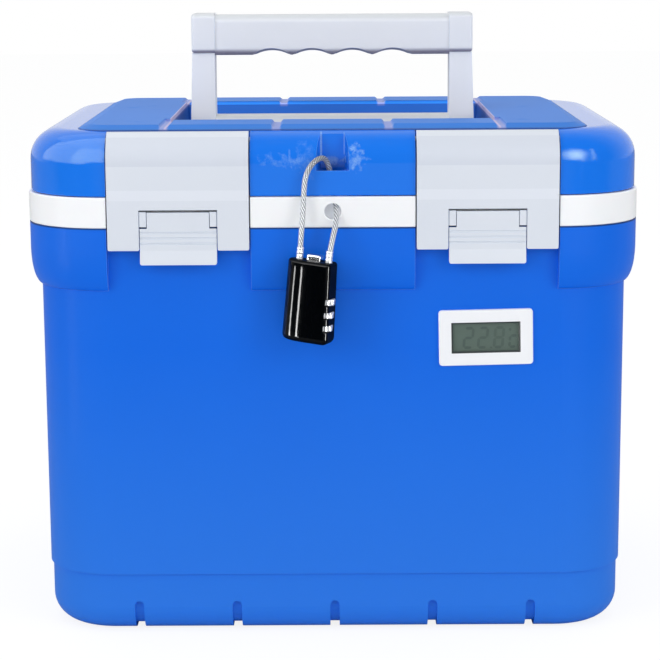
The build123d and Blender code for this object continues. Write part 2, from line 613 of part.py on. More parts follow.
for name, side in SIDES:
    centre_x = side * LATCH_X

    with BuildPart() as latch_panel:
        with BuildSketch(Plane.YZ.offset(centre_x - LATCH_W / 2)) as panel_section:
            add(curl_strip(CURL_R, CURL_R - LATCH_T, CURL_END, LATCH_LOW))
            with Locations((-LATCH_PIN_Y, LATCH_PIN_Z)):
                Circle(LATCH_EYE_R)
        extrude(panel_section.sketch, amount=LATCH_W)
        # notch for the lever, open at the bottom
        box_between(
            (centre_x - LEVER_CUT_W / 2, centre_x + LEVER_CUT_W / 2),
            (-130, -100), (190, LEVER_CUT_TOP), Mode.SUBTRACT,
        )
        fillet(latch_panel.edges().filter_by(Axis.Y).group_by(Axis.Z)[0], 0.8)
        # stiffening flanges along the two long edges
        for end in (-1, 1):
            flange_x = centre_x + end * (LATCH_W - FLANGE_W) / 2
            with BuildSketch(Plane.YZ.offset(flange_x)) as flange:
                add(curl_strip(CURL_R - LATCH_T, FLANGE_BACK - CURL_Y, FLANGE_END, LATCH_LOW + 3))
            extrude(flange.sketch, amount=FLANGE_W / 2, both=True)
            # ears that carry the lever pin
            ear_x = centre_x + end * (LEVER_CUT_W / 2 - EAR_W / 2)
            with BuildSketch(Plane.YZ.offset(ear_x)) as ear:
                with Locations((-LATCH_FACE + LATCH_T / 2, (EAR_LOW + EAR_TOP) / 2)):
                    Rectangle(LATCH_T, EAR_TOP - EAR_LOW)
                with Locations((-LEVER_PIN_Y, LEVER_PIN_Z)):
                    Circle(LEVER_EYE_R)
            extrude(ear.sketch, amount=EAR_W / 2, both=True)
            groove_x = centre_x + end * (LEVER_CUT_W - EAR_GROOVE_W) / 2
            box_between(
                (groove_x - EAR_GROOVE_W / 2, groove_x + EAR_GROOVE_W / 2),
                (-130, -LATCH_FACE + EAR_GROOVE_DEEP), (EAR_LOW, EAR_TOP), Mode.SUBTRACT,
            )
        rod(
            (centre_x - LATCH_W / 2, -LATCH_PIN_Y, LATCH_PIN_Z), (1, 0, 0),
            LATCH_PIN_R + RUNNING, LATCH_W, Mode.SUBTRACT,
        )
        rod(
            (centre_x - LEVER_PIN_L / 2, -LEVER_PIN_Y, LEVER_PIN_Z), (1, 0, 0),
            LEVER_PIN_R, LEVER_PIN_L, Mode.SUBTRACT,
        )
    save(latch_panel, f"latch_panel_{name}")

    with BuildPart() as latch_pin:
        rod(
            (centre_x - LATCH_PIN_L / 2, -LATCH_PIN_Y, LATCH_PIN_Z), (1, 0, 0),
            LATCH_PIN_R, LATCH_PIN_L,
        )
    save(latch_pin, f"latch_pin_{name}")

    with BuildPart() as lever_pin:
        rod(
            (centre_x - LEVER_PIN_L / 2, -LEVER_PIN_Y, LEVER_PIN_Z), (1, 0, 0),
            LEVER_PIN_R, LEVER_PIN_L,
        )
    save(lever_pin, f"lever_pin_{name}")

    # lever: grooved thumb plate under a hinged eye, with a claw behind
    eye_half = LEVER_CUT_W / 2 - EAR_W - GAP
    plate_half = LEVER_CUT_W / 2 - 0.4
    back = -LATCH_FACE + LEVER_T
    with BuildPart() as latch_lever:
        with BuildSketch(Plane.YZ.offset(centre_x - plate_half)) as lever_section:
            Polygon(
                (-LATCH_FACE, LEVER_TOP), (-LATCH_FACE, LATCH_LOW),
                (-LATCH_FACE - LEVER_FLARE, LEVER_LOW), (back - LEVER_FLARE, LEVER_LOW),
                (back, LATCH_LOW), (back, CLAW_LOW), (back + CLAW_OUT, CLAW_LOW + 0.8),
                (back + CLAW_OUT, CLAW_TOP - 0.8), (back, CLAW_TOP), (back, LEVER_TOP),
                align=None,
            )
            with Locations((-LEVER_PIN_Y, LEVER_PIN_Z)):
                Circle(LEVER_SWEEP_R, mode=Mode.SUBTRACT)
        extrude(lever_section.sketch, amount=2 * plate_half)
        fillet(latch_lever.edges().filter_by(Axis.Y).group_by(Axis.Z)[0], 1)
        with BuildSketch(Plane.YZ.offset(centre_x - eye_half)) as web:
            with Locations((-LEVER_PIN_Y, LEVER_PIN_Z)):
                Circle(LEVER_EYE_R)
            with Locations((-LATCH_FACE + LEVER_T / 2, (LEVER_PIN_Z + WEB_LOW) / 2)):
                Rectangle(LEVER_T, LEVER_PIN_Z - WEB_LOW)
            with Locations((-LATCH_FACE + TAB_T / 2, (LEVER_PIN_Z + TAB_TOP) / 2)):
                Rectangle(TAB_T, TAB_TOP - LEVER_PIN_Z)
        extrude(web.sketch, amount=2 * eye_half)
        for groove_z in GROOVE_HEIGHTS:
            rod(
                (centre_x - plate_half, -LATCH_FACE, groove_z), (1, 0, 0),
                GROOVE_R, 2 * plate_half, Mode.SUBTRACT,
            )
        rod(
            (centre_x - plate_half, -LEVER_PIN_Y, LEVER_PIN_Z), (1, 0, 0),
            LEVER_PIN_R + RUNNING, 2 * plate_half, Mode.SUBTRACT,
        )
    save(latch_lever, f"latch_lever_{name}")

# ---------------------------------------------------------------- handle
with BuildPart() as handle_grip:
    with BuildSketch(Plane.YZ.offset(-GRIP_HALF)) as grip_section:
        with Locations((0, (GRIP_TOP + GRIP_LOW) / 2)):
            Rectangle(GRIP_T, GRIP_TOP - GRIP_LOW)
        fillet(grip_section.vertices().group_by(Axis.Y)[-1], 4)
        fillet(grip_section.vertices().group_by(Axis.Y)[0], 4)
    extrude(grip_section.sketch, amount=2 * GRIP_HALF)
    # finger arches, lower at the back than at the front
    finger_r = (FINGER_PITCH**2 / 4 + FINGER_DEEP**2) / (2 * FINGER_DEEP)
    tilt = radians(FINGER_TILT)
    for step in range(FINGERS):
        finger_x = (step - (FINGERS - 1) / 2) * FINGER_PITCH
        rod(
            (finger_x, -GRIP_T, GRIP_LOW + FINGER_DEEP - finger_r + GRIP_T / 2 * tan(tilt)),
            (0, cos(tilt), -sin(tilt)), finger_r, 2 * GRIP_T, Mode.SUBTRACT,
        )
save(handle_grip, "handle_grip")

for name, side in SIDES:
    with BuildPart() as handle_cap:
        cap_centre = side * (GRIP_HALF + CAP_W / 2)
        with BuildSketch(Plane.XY.offset(CAP_LOW)) as cap_plan:
            with Locations((cap_centre, 0)):
                Rectangle(CAP_W, CAP_T)
        extrude(cap_plan.sketch, amount=HANDLE_TOP - CAP_LOW)
        fillet(handle_cap.edges().filter_by(Axis.X), 2.5)
        fillet(end_face(handle_cap, side).edges(), 1.6)
    save(handle_cap, f"handle_cap_{name}")

    with BuildPart() as handle_leg:
        inner_x = side * (GRIP_HALF + 0.2)
        with BuildSketch(Plane.XZ) as leg_face:
            Polygon(
                (inner_x, CAP_LOW), (side * LEG_OUT_TOP, CAP_LOW), (side * LEG_OUT_LOW, 252.0),
                (side * LEG_OUT_LOW, PIVOT_Z - LEG_T / 2), (inner_x, PIVOT_Z - LEG_T / 2),
                align=None,
            )
        extrude(leg_face.sketch, amount=LEG_T / 2, both=True)
        # rounded foot about the pivot
        with BuildSketch(Plane.YZ) as foot:
            with Locations((0, (CAP_LOW + PIVOT_Z) / 2)):
                Rectangle(LEG_T, CAP_LOW - PIVOT_Z)
            with Locations((0, PIVOT_Z)):
                Circle(LEG_T / 2)
        extrude(foot.sketch, amount=100, both=True, mode=Mode.INTERSECT)
        rod((side * PIVOT_START, 0, PIVOT_Z), (side, 0, 0), PIVOT_R, 10, Mode.SUBTRACT)
    save(handle_leg, f"handle_leg_{name}")

with BuildPart() as handle_cross_bar:
    with BuildSketch(Plane.YZ.offset(-GRIP_HALF - 0.2)) as bar_section:
        with Locations((0, PIVOT_Z)):
            RectangleRounded(BAR_T, BAR_H, 5)
    extrude(bar_section.sketch, amount=2 * (GRIP_HALF + 0.2))
save(handle_cross_bar, "handle_cross_bar")

with BuildPart() as handle_pins:
    for _, side in SIDES:
        rod((side * PIVOT_START, 0, PIVOT_Z), (side, 0, 0), PIVOT_R, PIVOT_END - PIVOT_START)
save(handle_pins, "handle_pins")


# ---------------------------------------------------------------- thermometer
def thermo_block(width, height, low, high, radius=0.0, taper=0.0, mode=Mode.ADD):
    """Block on the thermometer's own plane; low and high are measured outwards."""
    with BuildSketch(thermo_plane.offset(low)) as outline:
        if radius:
            RectangleRounded(width, height, radius)
        else:
            Rectangle(width, height)
    extrude(outline.sketch, amount=high - low, taper=taper, mode=mode)


with BuildPart() as thermometer_bezel:
    thermo_block(BEZEL_W, BEZEL_H, 0, BEZEL_T, BEZEL_R)
    fillet(thermometer_bezel.faces().sort_by(Axis.Y)[0].edges(), 0.7)
    # pocket for the lens, then a window with a sloped rim
    thermo_block(LENS_W, LENS_H, 0, LENS_TOP, mode=Mode.SUBTRACT)
    rim = 2 * (BEZEL_T - LENS_TOP) * tan(radians(WINDOW_SLOPE))
    thermo_block(
        WINDOW_W - rim, WINDOW_H - rim, LENS_TOP, BEZEL_T, 0, -WINDOW_SLOPE, Mode.SUBTRACT
    )
save(thermometer_bezel, "thermometer_bezel")

with BuildPart() as thermometer_lens:
    thermo_block(LENS_W, LENS_H, 0, LENS_TOP)
save(thermometer_lens, "thermometer_lens")

with BuildPart() as thermometer_case:
    thermo_block(THERMO_W, THERMO_H, -THERMO_DEEP, 0)
    thermo_block(
        THERMO_W - 2 * THERMO_WALL, THERMO_H - 2 * THERMO_WALL,
        -THERMO_DEEP + THERMO_WALL, 0, mode=Mode.SUBTRACT,
    )
    rod(
        (THERMO_X, -CHANNEL_Y + THERMO_DEEP - THERMO_WALL, THERMO_Z), (0, 1, 0),
        PROBE_R, THERMO_WALL, Mode.SUBTRACT,
    )
save(thermometer_case, "thermometer_case")

with BuildPart() as thermometer_lcd:
    thermo_block(LENS_W - 1, LENS_H - 1, -LCD_BACK, 0)
save(thermometer_lcd, "thermometer_lcd")

with BuildPart() as thermometer_board:
    board_gap = 2 * (THERMO_WALL + GAP)
    thermo_block(THERMO_W - board_gap, THERMO_H - board_gap, -BOARD_BACK, -LCD_BACK)
save(thermometer_board, "thermometer_board")

with BuildPart() as thermometer_cells:
    with BuildSketch(thermo_plane.offset(-BOARD_BACK)) as cells:
        with Locations((-CELL_X, 0), (CELL_X, 0)):
            Circle(CELL_R)
    extrude(cells.sketch, amount=-CELL_T)
save(thermometer_cells, "thermometer_cells")

with BuildPart() as thermometer_probe:
    rod(
        (THERMO_X, -CHANNEL_Y + THERMO_DEEP - THERMO_WALL, THERMO_Z), (0, 1, 0),
        PROBE_R, CHANNEL_Y - THERMO_DEEP + THERMO_WALL - PROBE_TIP,
    )
    fillet(thermometer_probe.edges().group_by(Axis.Y)[-1], 1.5)
save(thermometer_probe, "thermometer_probe")

with BuildPart() as probe_grommet:
    rod((THERMO_X, -82, THERMO_Z), (0, 1, 0), GROMMET_R, 6)
    rod((THERMO_X, -78, THERMO_Z), (0, 1, 0), GROMMET_FLANGE_R, 2.8)
    add(inner_liner.part, mode=Mode.SUBTRACT)
    rod((THERMO_X, -90, THERMO_Z), (0, 1, 0), PROBE_R, 20, Mode.SUBTRACT)
    # nothing of the grommet stands in the foam beyond its own bore
    add(box_insulation.part, mode=Mode.SUBTRACT)
save(probe_grommet, "probe_grommet")

# ---------------------------------------------------------------- cold packs
with BuildPart() as pack_form:
    rounded_block(PACK_W, PACK_T, PACK_R, ROOM_FLOOR, ROOM_FLOOR + PACK_H - PACK_CAP_T)
    fillet(pack_form.edges().group_by(Axis.Z)[0], PACK_R - 1)
    fillet(pack_form.edges().group_by(Axis.Z)[-1], PACK_R - 1)
    with BuildSketch(Plane.XY.offset(ROOM_FLOOR + PACK_H - PACK_CAP_T - 1)) as pack_cap:
        with Locations((PACK_W / 2 - 24, 0)):
            Circle(PACK_CAP_R)
    extrude(pack_cap.sketch, amount=PACK_CAP_T + 1)
    fillet(pack_form.edges().group_by(Axis.Z)[-1], 1)

PACKS = (
    ("front", (0, -PACK_Y, 0), 0), ("back", (0, PACK_Y, 0), 180),
    ("left", (-PACK_X, 0, 0), 270), ("right", (PACK_X, 0, 0), 90),
)
for name, place, turn in PACKS:
    with BuildPart() as cold_pack:
        with Locations(Location(place, (0, 0, turn))):
            add(pack_form.part)
    save(cold_pack, f"cold_pack_{name}")

# ---------------------------------------------------------------- cable lock
lock_u = Vector(1, 0, 0).rotate(Axis.Z, LOCK_TURN).rotate(Axis.Y, LOCK_LEAN)
lock_w = Vector(0, 0, 1).rotate(Axis.Y, LOCK_LEAN)
lock_v = lock_w.cross(lock_u)
lock_plane = Plane(origin=LOCK_CENTRE, x_dir=lock_u, z_dir=lock_w)


def lock_rod(places, radius, low, high, mode=Mode.ADD):
    """Round rods along the lock's long axis at the given (u, v) places."""
    with BuildSketch(lock_plane.offset(low)) as outline:
        with Locations(*places):
            Circle(radius)
    extrude(outline.sketch, amount=high - low, mode=mode)


def lock_block(u, width, depth, radius, low, high, mode=Mode.ADD):
    """Rounded block along the lock's long axis."""
    with BuildSketch(lock_plane.offset(low)) as outline:
        with Locations((u, 0)):
            RectangleRounded(width, depth, radius)
    extrude(outline.sketch, amount=high - low, mode=mode)


sockets = ((-SOCKET_U, 0), (SOCKET_U, 0))
dial_place = ((DIAL_U, DIAL_V),)

def lock_section(height, right):
    """Plan of the lock body at one height: half an ellipse on the left, square on the right."""
    with BuildSketch(lock_plane.offset(height)) as outline:
        with BuildLine():
            barrel = EllipticalCenterArc(
                (LOCK_LEFT + LOCK_BARREL, 0), LOCK_BARREL, LOCK_T / 2, start_angle=90, arc_size=180
            )
            front = Line(barrel @ 1, (right - LOCK_R, -LOCK_T / 2))
            near = RadiusArc(front @ 1, (right, -LOCK_T / 2 + LOCK_R), -LOCK_R)
            end = Line(near @ 1, (right, LOCK_T / 2 - LOCK_R))
            far = RadiusArc(end @ 1, (right - LOCK_R, LOCK_T / 2), -LOCK_R)
            Line(far @ 1, barrel @ 0)
        make_face()
    return outline.sketch.face()


with BuildPart() as lock_body:
    # wider towards the bottom
    loft(
        [lock_section(LOCK_LOW, LOCK_RIGHT_LOW), lock_section(LOCK_TOP, LOCK_RIGHT)], ruled=True
    )
    fillet(lock_body.faces().sort_by(Axis(LOCK_CENTRE, lock_w))[0].edges(), LOCK_LOW_R)
    fillet(lock_body.faces().sort_by(Axis(LOCK_CENTRE, lock_w))[-1].edges(), LOCK_TOP_R)
    for height in DIAL_HEIGHTS:
        slot_low, slot_top = height - DIAL_T / 2 - DIAL_GAP, height + DIAL_T / 2 + DIAL_GAP
        lock_rod(dial_place, DIAL_R + GAP - 0.05, slot_low, slot_top, Mode.SUBTRACT)
        with BuildSketch(lock_plane.offset(slot_low)) as window:
            with Locations(((DIAL_WINDOW + 15) / 2, -5)):
                Rectangle(15 - DIAL_WINDOW, 10)
        extrude(window.sketch, amount=slot_top - slot_low, mode=Mode.SUBTRACT)
    lock_rod(dial_place, SPINDLE_R, SPINDLE_LOW, SPINDLE_TOP, Mode.SUBTRACT)
    lock_rod(sockets, FERRULE_R, FERRULE_LOW, LOCK_TOP, Mode.SUBTRACT)
    lock_block(
        BUTTON_U, BUTTON_W + 2 * GAP, BUTTON_T + 2 * GAP, 1.3,
        LOCK_TOP - BUTTON_DOWN - 2.0, LOCK_TOP, Mode.SUBTRACT,
    )
save(lock_body, "lock_body")

with BuildPart() as lock_spindle:
    lock_rod(dial_place, SPINDLE_R, SPINDLE_LOW, SPINDLE_TOP)
save(lock_spindle, "lock_spindle")

for number, height in enumerate(DIAL_HEIGHTS, 1):
    with BuildPart() as dial:
        lock_rod(dial_place, DIAL_R, height - DIAL_T / 2, height + DIAL_T / 2)
        fillet(dial.edges(), 0.5)
        lock_rod(
            dial_place, SPINDLE_R + RUNNING, height - DIAL_T / 2, height + DIAL_T / 2,
            Mode.SUBTRACT,
        )
    save(dial, f"dial_{number}")

with BuildPart() as release_button:
    lock_block(
        BUTTON_U, BUTTON_W, BUTTON_T, 1.0, LOCK_TOP - BUTTON_DOWN, LOCK_TOP + BUTTON_UP
    )
    fillet(release_button.edges().group_by(Axis(LOCK_CENTRE, lock_w))[-1], 0.8)
save(release_button, "release_button")


def corner_radii(points):
    """Largest arcs that still leave a short straight run between neighbouring corners."""
    radii = []
    for before, here, after in zip(points, points[1:], points[2:]):
        run_in = Vector(*here) - Vector(*before)
        run_out = Vector(*after) - Vector(*here)
        turn = radians(run_in.get_angle(run_out))
        radii.append(0.45 * min(run_in.length, run_out.length) / tan(turn / 2))
    return radii


cable_radii = corner_radii(CABLE_ROUTE)
print("cable arc radii", [round(radius, 1) for radius in cable_radii])
with BuildLine() as cable_line:
    FilletPolyline(*CABLE_ROUTE, radius=cable_radii)
with BuildPart() as lock_cable:
    with BuildSketch(Plane(origin=cable_line.line @ 0, z_dir=cable_line.line % 0)):
        Circle(CABLE_D / 2)
    sweep(path=cable_line.line)
save(lock_cable, "lock_cable")

with BuildPart() as lock_ferrules:
    lock_rod(sockets, FERRULE_R, FERRULE_LOW, FERRULE_TOP)
    add(lock_cable.part, mode=Mode.SUBTRACT)
save(lock_ferrules, "lock_ferrules")
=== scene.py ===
from math import cos, pi, radians, sin, tan

import bpy
import numpy as np
from mathutils import Matrix, Vector


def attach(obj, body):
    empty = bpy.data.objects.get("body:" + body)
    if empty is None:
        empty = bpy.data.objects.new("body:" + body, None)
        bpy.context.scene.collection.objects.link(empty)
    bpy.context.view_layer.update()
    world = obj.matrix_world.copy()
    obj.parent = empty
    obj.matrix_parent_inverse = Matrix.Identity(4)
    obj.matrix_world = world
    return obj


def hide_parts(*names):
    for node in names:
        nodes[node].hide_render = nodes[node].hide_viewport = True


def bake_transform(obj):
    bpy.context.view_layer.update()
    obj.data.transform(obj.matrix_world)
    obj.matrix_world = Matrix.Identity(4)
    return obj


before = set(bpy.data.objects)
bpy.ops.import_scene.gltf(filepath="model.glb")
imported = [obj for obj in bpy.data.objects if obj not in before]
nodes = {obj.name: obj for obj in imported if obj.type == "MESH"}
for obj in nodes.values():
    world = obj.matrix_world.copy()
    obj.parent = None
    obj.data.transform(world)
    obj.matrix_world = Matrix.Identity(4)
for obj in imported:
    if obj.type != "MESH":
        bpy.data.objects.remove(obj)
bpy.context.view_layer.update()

# ------------------------------------------------------------------ studio
# A white sweep under soft boxes: one large above, one each side of the viewer.
# The viewer stands a little over a metre in front and looks slightly down.
CAMERA_AT = (0.000634, -1.107443, 0.345310)
PITCH, YAW, ROLL = 0.184456, -0.002378, -0.005778
FOCAL_PIXELS, FRAME_PIXELS = 2028.29, 660
SENSOR_MM = 36.0
WHITE, PAPER = "FFFFFF", "F4F5F6"


def linear(hex_colour):
    """sRGB hex to linear RGBA: c/12.92 below 0.04045, ((c+0.055)/1.055)^2.4 above."""
    channels = [int(hex_colour[i:i + 2], 16) / 255 for i in (0, 2, 4)]
    return [c / 12.92 if c <= 0.04045 else ((c + 0.055) / 1.055) ** 2.4
            for c in channels] + [1.0]


def add_node(tree, kind, settings=None, **inputs):
    """Adds one shader node, sets its settings, and fills its inputs with values or links.

    An input is named as in Blender with spaces as underscores, or by number as in _0.
    A node given as an input is linked from its first output that is in use.
    """
    node = tree.nodes.new("ShaderNode" + kind)
    for key, value in (settings or {}).items():
        setattr(node, key, value)
    for key, value in inputs.items():
        name = int(key[1:]) if key[0] == "_" else key.replace("_", " ")
        if isinstance(value, bpy.types.Node):
            value = next(output for output in value.outputs if output.enabled)
        if isinstance(value, bpy.types.NodeSocket):
            tree.links.new(value, node.inputs[name])
        else:
            node.inputs[name].default_value = value
    return node


def new_material(name):
    """An empty node material and its tree."""
    material = bpy.data.materials.new(name)
    material.use_nodes = True
    material.node_tree.nodes.clear()
    return material, material.node_tree


def finish_material(tree, shader):
    """Links the last shader to the output."""
    add_node(tree, "OutputMaterial", Surface=shader)


def new_piece(name, points, faces, material):
    """One mesh object of the given points and faces, at the origin, in one material."""
    mesh = bpy.data.meshes.new(name)
    mesh.from_pydata(points.tolist(), [], faces)
    mesh.materials.append(material)
    piece = bpy.data.objects.new(name, mesh)
    bpy.context.collection.objects.link(piece)
    return piece


def look_from(pitch, yaw, roll):
    """Camera turn whose columns are right, up and backward.

    Ahead is (sin yaw cos pitch, cos yaw cos pitch, -sin pitch); roll turns right towards up.
    """
    ahead = Vector((sin(yaw) * cos(pitch), cos(yaw) * cos(pitch), -sin(pitch)))
    level = Vector((cos(yaw), -sin(yaw), 0))
    rise = level.cross(ahead)
    right = cos(roll) * level + sin(roll) * rise
    up = cos(roll) * rise - sin(roll) * level
    return Matrix((right, up, -ahead)).transposed().to_4x4()


lens = bpy.data.cameras.new("viewer")
lens.sensor_width = SENSOR_MM
lens.lens = FOCAL_PIXELS / FRAME_PIXELS * SENSOR_MM
viewer = bpy.data.objects.new("viewer", lens)
viewer.matrix_world = Matrix.Translation(CAMERA_AT) @ look_from(PITCH, YAW, ROLL)
bpy.context.collection.objects.link(viewer)
bpy.context.scene.camera = viewer
bpy.context.scene.view_settings.view_transform = "Standard"

SOFT_BOXES = (
    # name, place, aims at, width, height, watts
    ("softbox_above", (0.0, -0.2, 1.9), (0.0, 0.0, 0.2), 1.6, 1.2, 5.4),
    ("softbox_left", (-1.6, -1.5, 1.0), (0.0, 0.0, 0.15), 0.8, 1.2, 10.0),
    ("softbox_right", (1.6, -1.5, 0.9), (0.0, 0.0, 0.15), 0.8, 1.2, 9.0),
)
REFLECTOR_CARDS = (
    # name, place, aims at, width, height, brightness, whether it is round and soft
    ("card_front_left", (-0.74, -1.15, 1.02), (-0.14, -0.1, 1.02), 1.06, 1.46, 4.6, False),
    ("card_left", (-1.28, -0.32, 1.02), (-0.12, -0.1, 1.02), 1.30, 1.46, 2.8, False),
    ("card_above_left", (-0.85, -0.55, 1.80), (-0.85, -0.55, 0.0), 1.30, 1.50, 3.2, False),
    ("card_behind_left", (-0.85, 0.70, 1.80), (-0.85, 0.70, 0.0), 1.30, 1.00, 1.4, False),
    ("card_right", (0.63, -1.13, 0.63), (0.12, -0.1, 0.25), 1.00, 1.30, 13.0, True),
    ("card_low", (0.0, -1.00, 0.13), (0.0, -0.1, 0.2), 1.40, 0.40, 0.5, True),
)
GRIDDED_STRIPS = (
    # name, place, aims at, width, height, brightness; a narrow grid keeps each on the lock
    ("strip_left", (-0.262, -0.312, 0.122), (-0.012, -0.125, 0.176), 0.024, 0.125, 55.0),
    ("strip_side", (-0.330, -0.190, 0.122), (-0.012, -0.125, 0.176), 0.030, 0.125, 45.0),
    ("strip_right", (0.200, -0.330, 0.122), (-0.006, -0.125, 0.176), 0.024, 0.125, 110.0),
)
GRID_ANGLE = radians(24)
# on its axis a gridded lamp is brighter by tan(h) / (tan(h) - h), h being half its spread
GRID_LOSS = 1 - GRID_ANGLE / 2 / tan(GRID_ANGLE / 2)
UNIT_SQUARE = np.array([(0.0, 0.0), (1.0, 0.0), (1.0, 1.0), (0.0, 1.0)])


def turn_to(place, aim):
    """Turn that points -Z from a place at what it aims at."""
    return (Vector(aim) - Vector(place)).to_track_quat("-Z", "Y")


def add_lamp(name, place, aim, width, height, watts, spread=pi):
    """A rectangular lamp; a spread under pi is a grid in front of it."""
    lamp = bpy.data.lights.new(name, "AREA")
    lamp.shape = "RECTANGLE"
    lamp.size, lamp.size_y, lamp.energy, lamp.spread = width, height, watts, spread
    stand = bpy.data.objects.new(name, lamp)
    stand.location = place
    stand.rotation_euler = turn_to(place, aim).to_euler()
    bpy.context.collection.objects.link(stand)
    return stand


def level_square(width, height):
    """Corners of a rectangle about the origin: ((u - 1/2) width, (v - 1/2) height, 0)."""
    return np.hstack([(UNIT_SQUARE - 0.5) * (width, height), np.zeros((4, 1))])


def add_card(name, place, aim, width, height, brightness, soft):
    """A flat glowing card that only mirror-like reflections can see.

    A soft card fades from its middle to its rim, by the distance in its own UV square.
    """
    material, tree = new_material(name)
    away = add_node(tree, "VectorMath", {"operation": "DISTANCE"},
                    _0=add_node(tree, "UVMap"), _1=(0.5, 0.5, 0.0))
    fade = add_node(tree, "MapRange", {"interpolation_type": "SMOOTHSTEP"}, _0=away,
                    _1=0.0 if soft else 0.8, _2=0.5 if soft else 0.9, _3=brightness, _4=0.0)
    finish_material(tree, add_node(tree, "Emission", Color=linear(WHITE), Strength=fade))
    turn = np.array(turn_to(place, aim).to_matrix())
    card = new_piece(name, place + level_square(width, height) @ turn.T, [(0, 1, 2, 3)],
                     material)
    card.data.uv_layers.new().data.foreach_set("uv", UNIT_SQUARE.ravel())
    card.visible_camera = False
    card.visible_diffuse = False
    card.visible_transmission = False
    card.visible_shadow = False


for name, *setting in SOFT_BOXES:
    stand = add_lamp(name, *setting)
    stand.visible_glossy = name != "softbox_above"
for card in REFLECTOR_CARDS:
    add_card(*card)
for name, place, aim, width, height, brightness in GRIDDED_STRIPS:
    watts = brightness * pi * width * height * GRID_LOSS
    stand = add_lamp(name, place, aim, width, height, watts, GRID_ANGLE)
    stand.visible_camera = False
    stand.visible_diffuse = False

# Reflections find the white sweep behind the object and a dimmer room in front of it.
ROOM_FRONT, ROOM_BEHIND, ROOM_OVERHEAD, AMBIENT = 0.05, 0.88, 0.14, 0.68
world = bpy.data.worlds.new("studio")
world.use_nodes = True
bpy.context.scene.world = world
tree = world.node_tree
tree.nodes.clear()
seen = add_node(tree, "LightPath").outputs
towards = add_node(tree, "SeparateXYZ",
                   Vector=add_node(tree, "TexCoord").outputs["Generated"]).outputs
behind = add_node(tree, "MapRange", _0=towards["Y"], _1=-0.2, _2=0.5,
                  _3=ROOM_FRONT, _4=ROOM_BEHIND)
overhead = add_node(tree, "MapRange", _0=towards["Z"], _1=0.1, _2=0.9,
                    _3=0.0, _4=ROOM_OVERHEAD)
room = add_node(tree, "Math", {"operation": "MAXIMUM"}, _0=behind, _1=overhead)
reflected = add_node(tree, "Background", Color=linear(WHITE), Strength=room)
ambient = add_node(tree, "Background", Color=linear(WHITE), Strength=AMBIENT)
sweep = add_node(tree, "Background", Color=linear(WHITE), Strength=1.0)
lit = add_node(tree, "MixShader", _0=seen["Is Glossy Ray"], _1=ambient, _2=reflected)
clear = add_node(tree, "Math", {"operation": "ADD", "use_clamp": True},
                 _0=seen["Is Camera Ray"], _1=seen["Is Transmission Ray"])
both = add_node(tree, "MixShader", _0=clear, _1=lit, _2=sweep)
add_node(tree, "OutputWorld", Surface=both)

# The paper ends half a metre in front of the object, so reflections of it fade out there.
FLOOR_WIDE = 12.0
PAPER_GLOW, GLOW_SHARE = 1.08, 0.80
material, tree = new_material("studio_paper")
seen = add_node(tree, "LightPath").outputs
place = add_node(tree, "SeparateXYZ",
                 Vector=add_node(tree, "TexCoord").outputs["Object"]).outputs
near = add_node(tree, "MapRange", _0=place["Y"], _1=-0.75, _2=-0.25, _3=0.05, _4=0.5)
dimmed = add_node(tree, "Mix", {"data_type": "RGBA", "blend_type": "MULTIPLY"},
                  Factor=1.0, _6=linear(PAPER), _7=near)
shown = add_node(tree, "Mix", {"data_type": "RGBA"}, Factor=seen["Is Glossy Ray"],
                 _6=linear(PAPER), _7=dimmed)
paper = add_node(tree, "BsdfDiffuse", Color=shown)
glow = add_node(tree, "Emission", Color=linear(WHITE), Strength=PAPER_GLOW)
share = add_node(tree, "Math", {"operation": "MULTIPLY"}, _0=seen["Is Camera Ray"],
                 _1=GLOW_SHARE)
finish_material(tree, add_node(tree, "MixShader", _0=share, _1=paper, _2=glow))
floor = new_piece("studio_floor", level_square(FLOOR_WIDE, FLOOR_WIDE), [(0, 1, 2, 3)], material)

# ------------------------------------------------------------------ lock cable
# A galvanised wire rope of six strands under a clear vinyl sleeve, 2.9 mm over all.
# It leaves one ferrule, goes over the lid's front edge, down through the chute and out
# of the eye in the white rim, and ends in the other ferrule.
CABLE_DIAMETER, ROPE_DIAMETER = 0.0029, 0.0027
STRANDS, CORE_SHARE = 6, 0.76
# twice as coarse as the real lay, so that the strands still show
STRAND_LAY = 0.0138
LINE_STEP, ROPE_SIDES = 0.0004, 54
SLEEVE_EVERY, SLEEVE_SIDES = 3, 24
BEND_GREY_FROM, BEND_GREY_FULL = 0.2370, 0.2445
CABLE_ROUTE = np.array([
    (-16.1, -122.7, 200.9), (-15.5, -121.7, 210.0), (-14.6, -118.9, 219.5),
    (-14.2, -117.2, 229.5), (-13.3, -116.6, 238.0), (-9.2, -117.0, 244.6),
    (-4.0, -111.1, 246.3), (-1.6, -107.2, 240.4), (-0.2, -107.0, 231.5),
    (1.6, -108.9, 222.2), (1.9, -114.2, 218.8), (1.4, -119.5, 213.2),
    (-0.3, -125.0, 207.0), (-1.8, -127.7, 199.5),
]) / 1000


def smooth_line(route, name):
    """Points of the open NURBS curve that has the route as its control points."""
    curve = bpy.data.curves.new(name, "CURVE")
    curve.dimensions = "3D"
    curve.resolution_u = 14
    spline = curve.splines.new("NURBS")
    spline.points.add(len(route) - 1)
    spline.points.foreach_set("co", np.hstack([route, np.ones((len(route), 1))]).ravel())
    spline.order_u = 3
    spline.use_endpoint_u = True
    holder = bpy.data.objects.new(name, curve)
    bpy.context.collection.objects.link(holder)
    line = bpy.data.meshes.new_from_object(holder)
    found = np.empty(len(line.vertices) * 3)
    line.vertices.foreach_get("co", found)
    bpy.data.objects.remove(holder)
    bpy.data.curves.remove(curve)
    bpy.data.meshes.remove(line)
    return found.reshape(-1, 3)


def unit(vectors):
    """Each vector divided by its length."""
    return vectors / np.linalg.norm(vectors, axis=-1, keepdims=True)


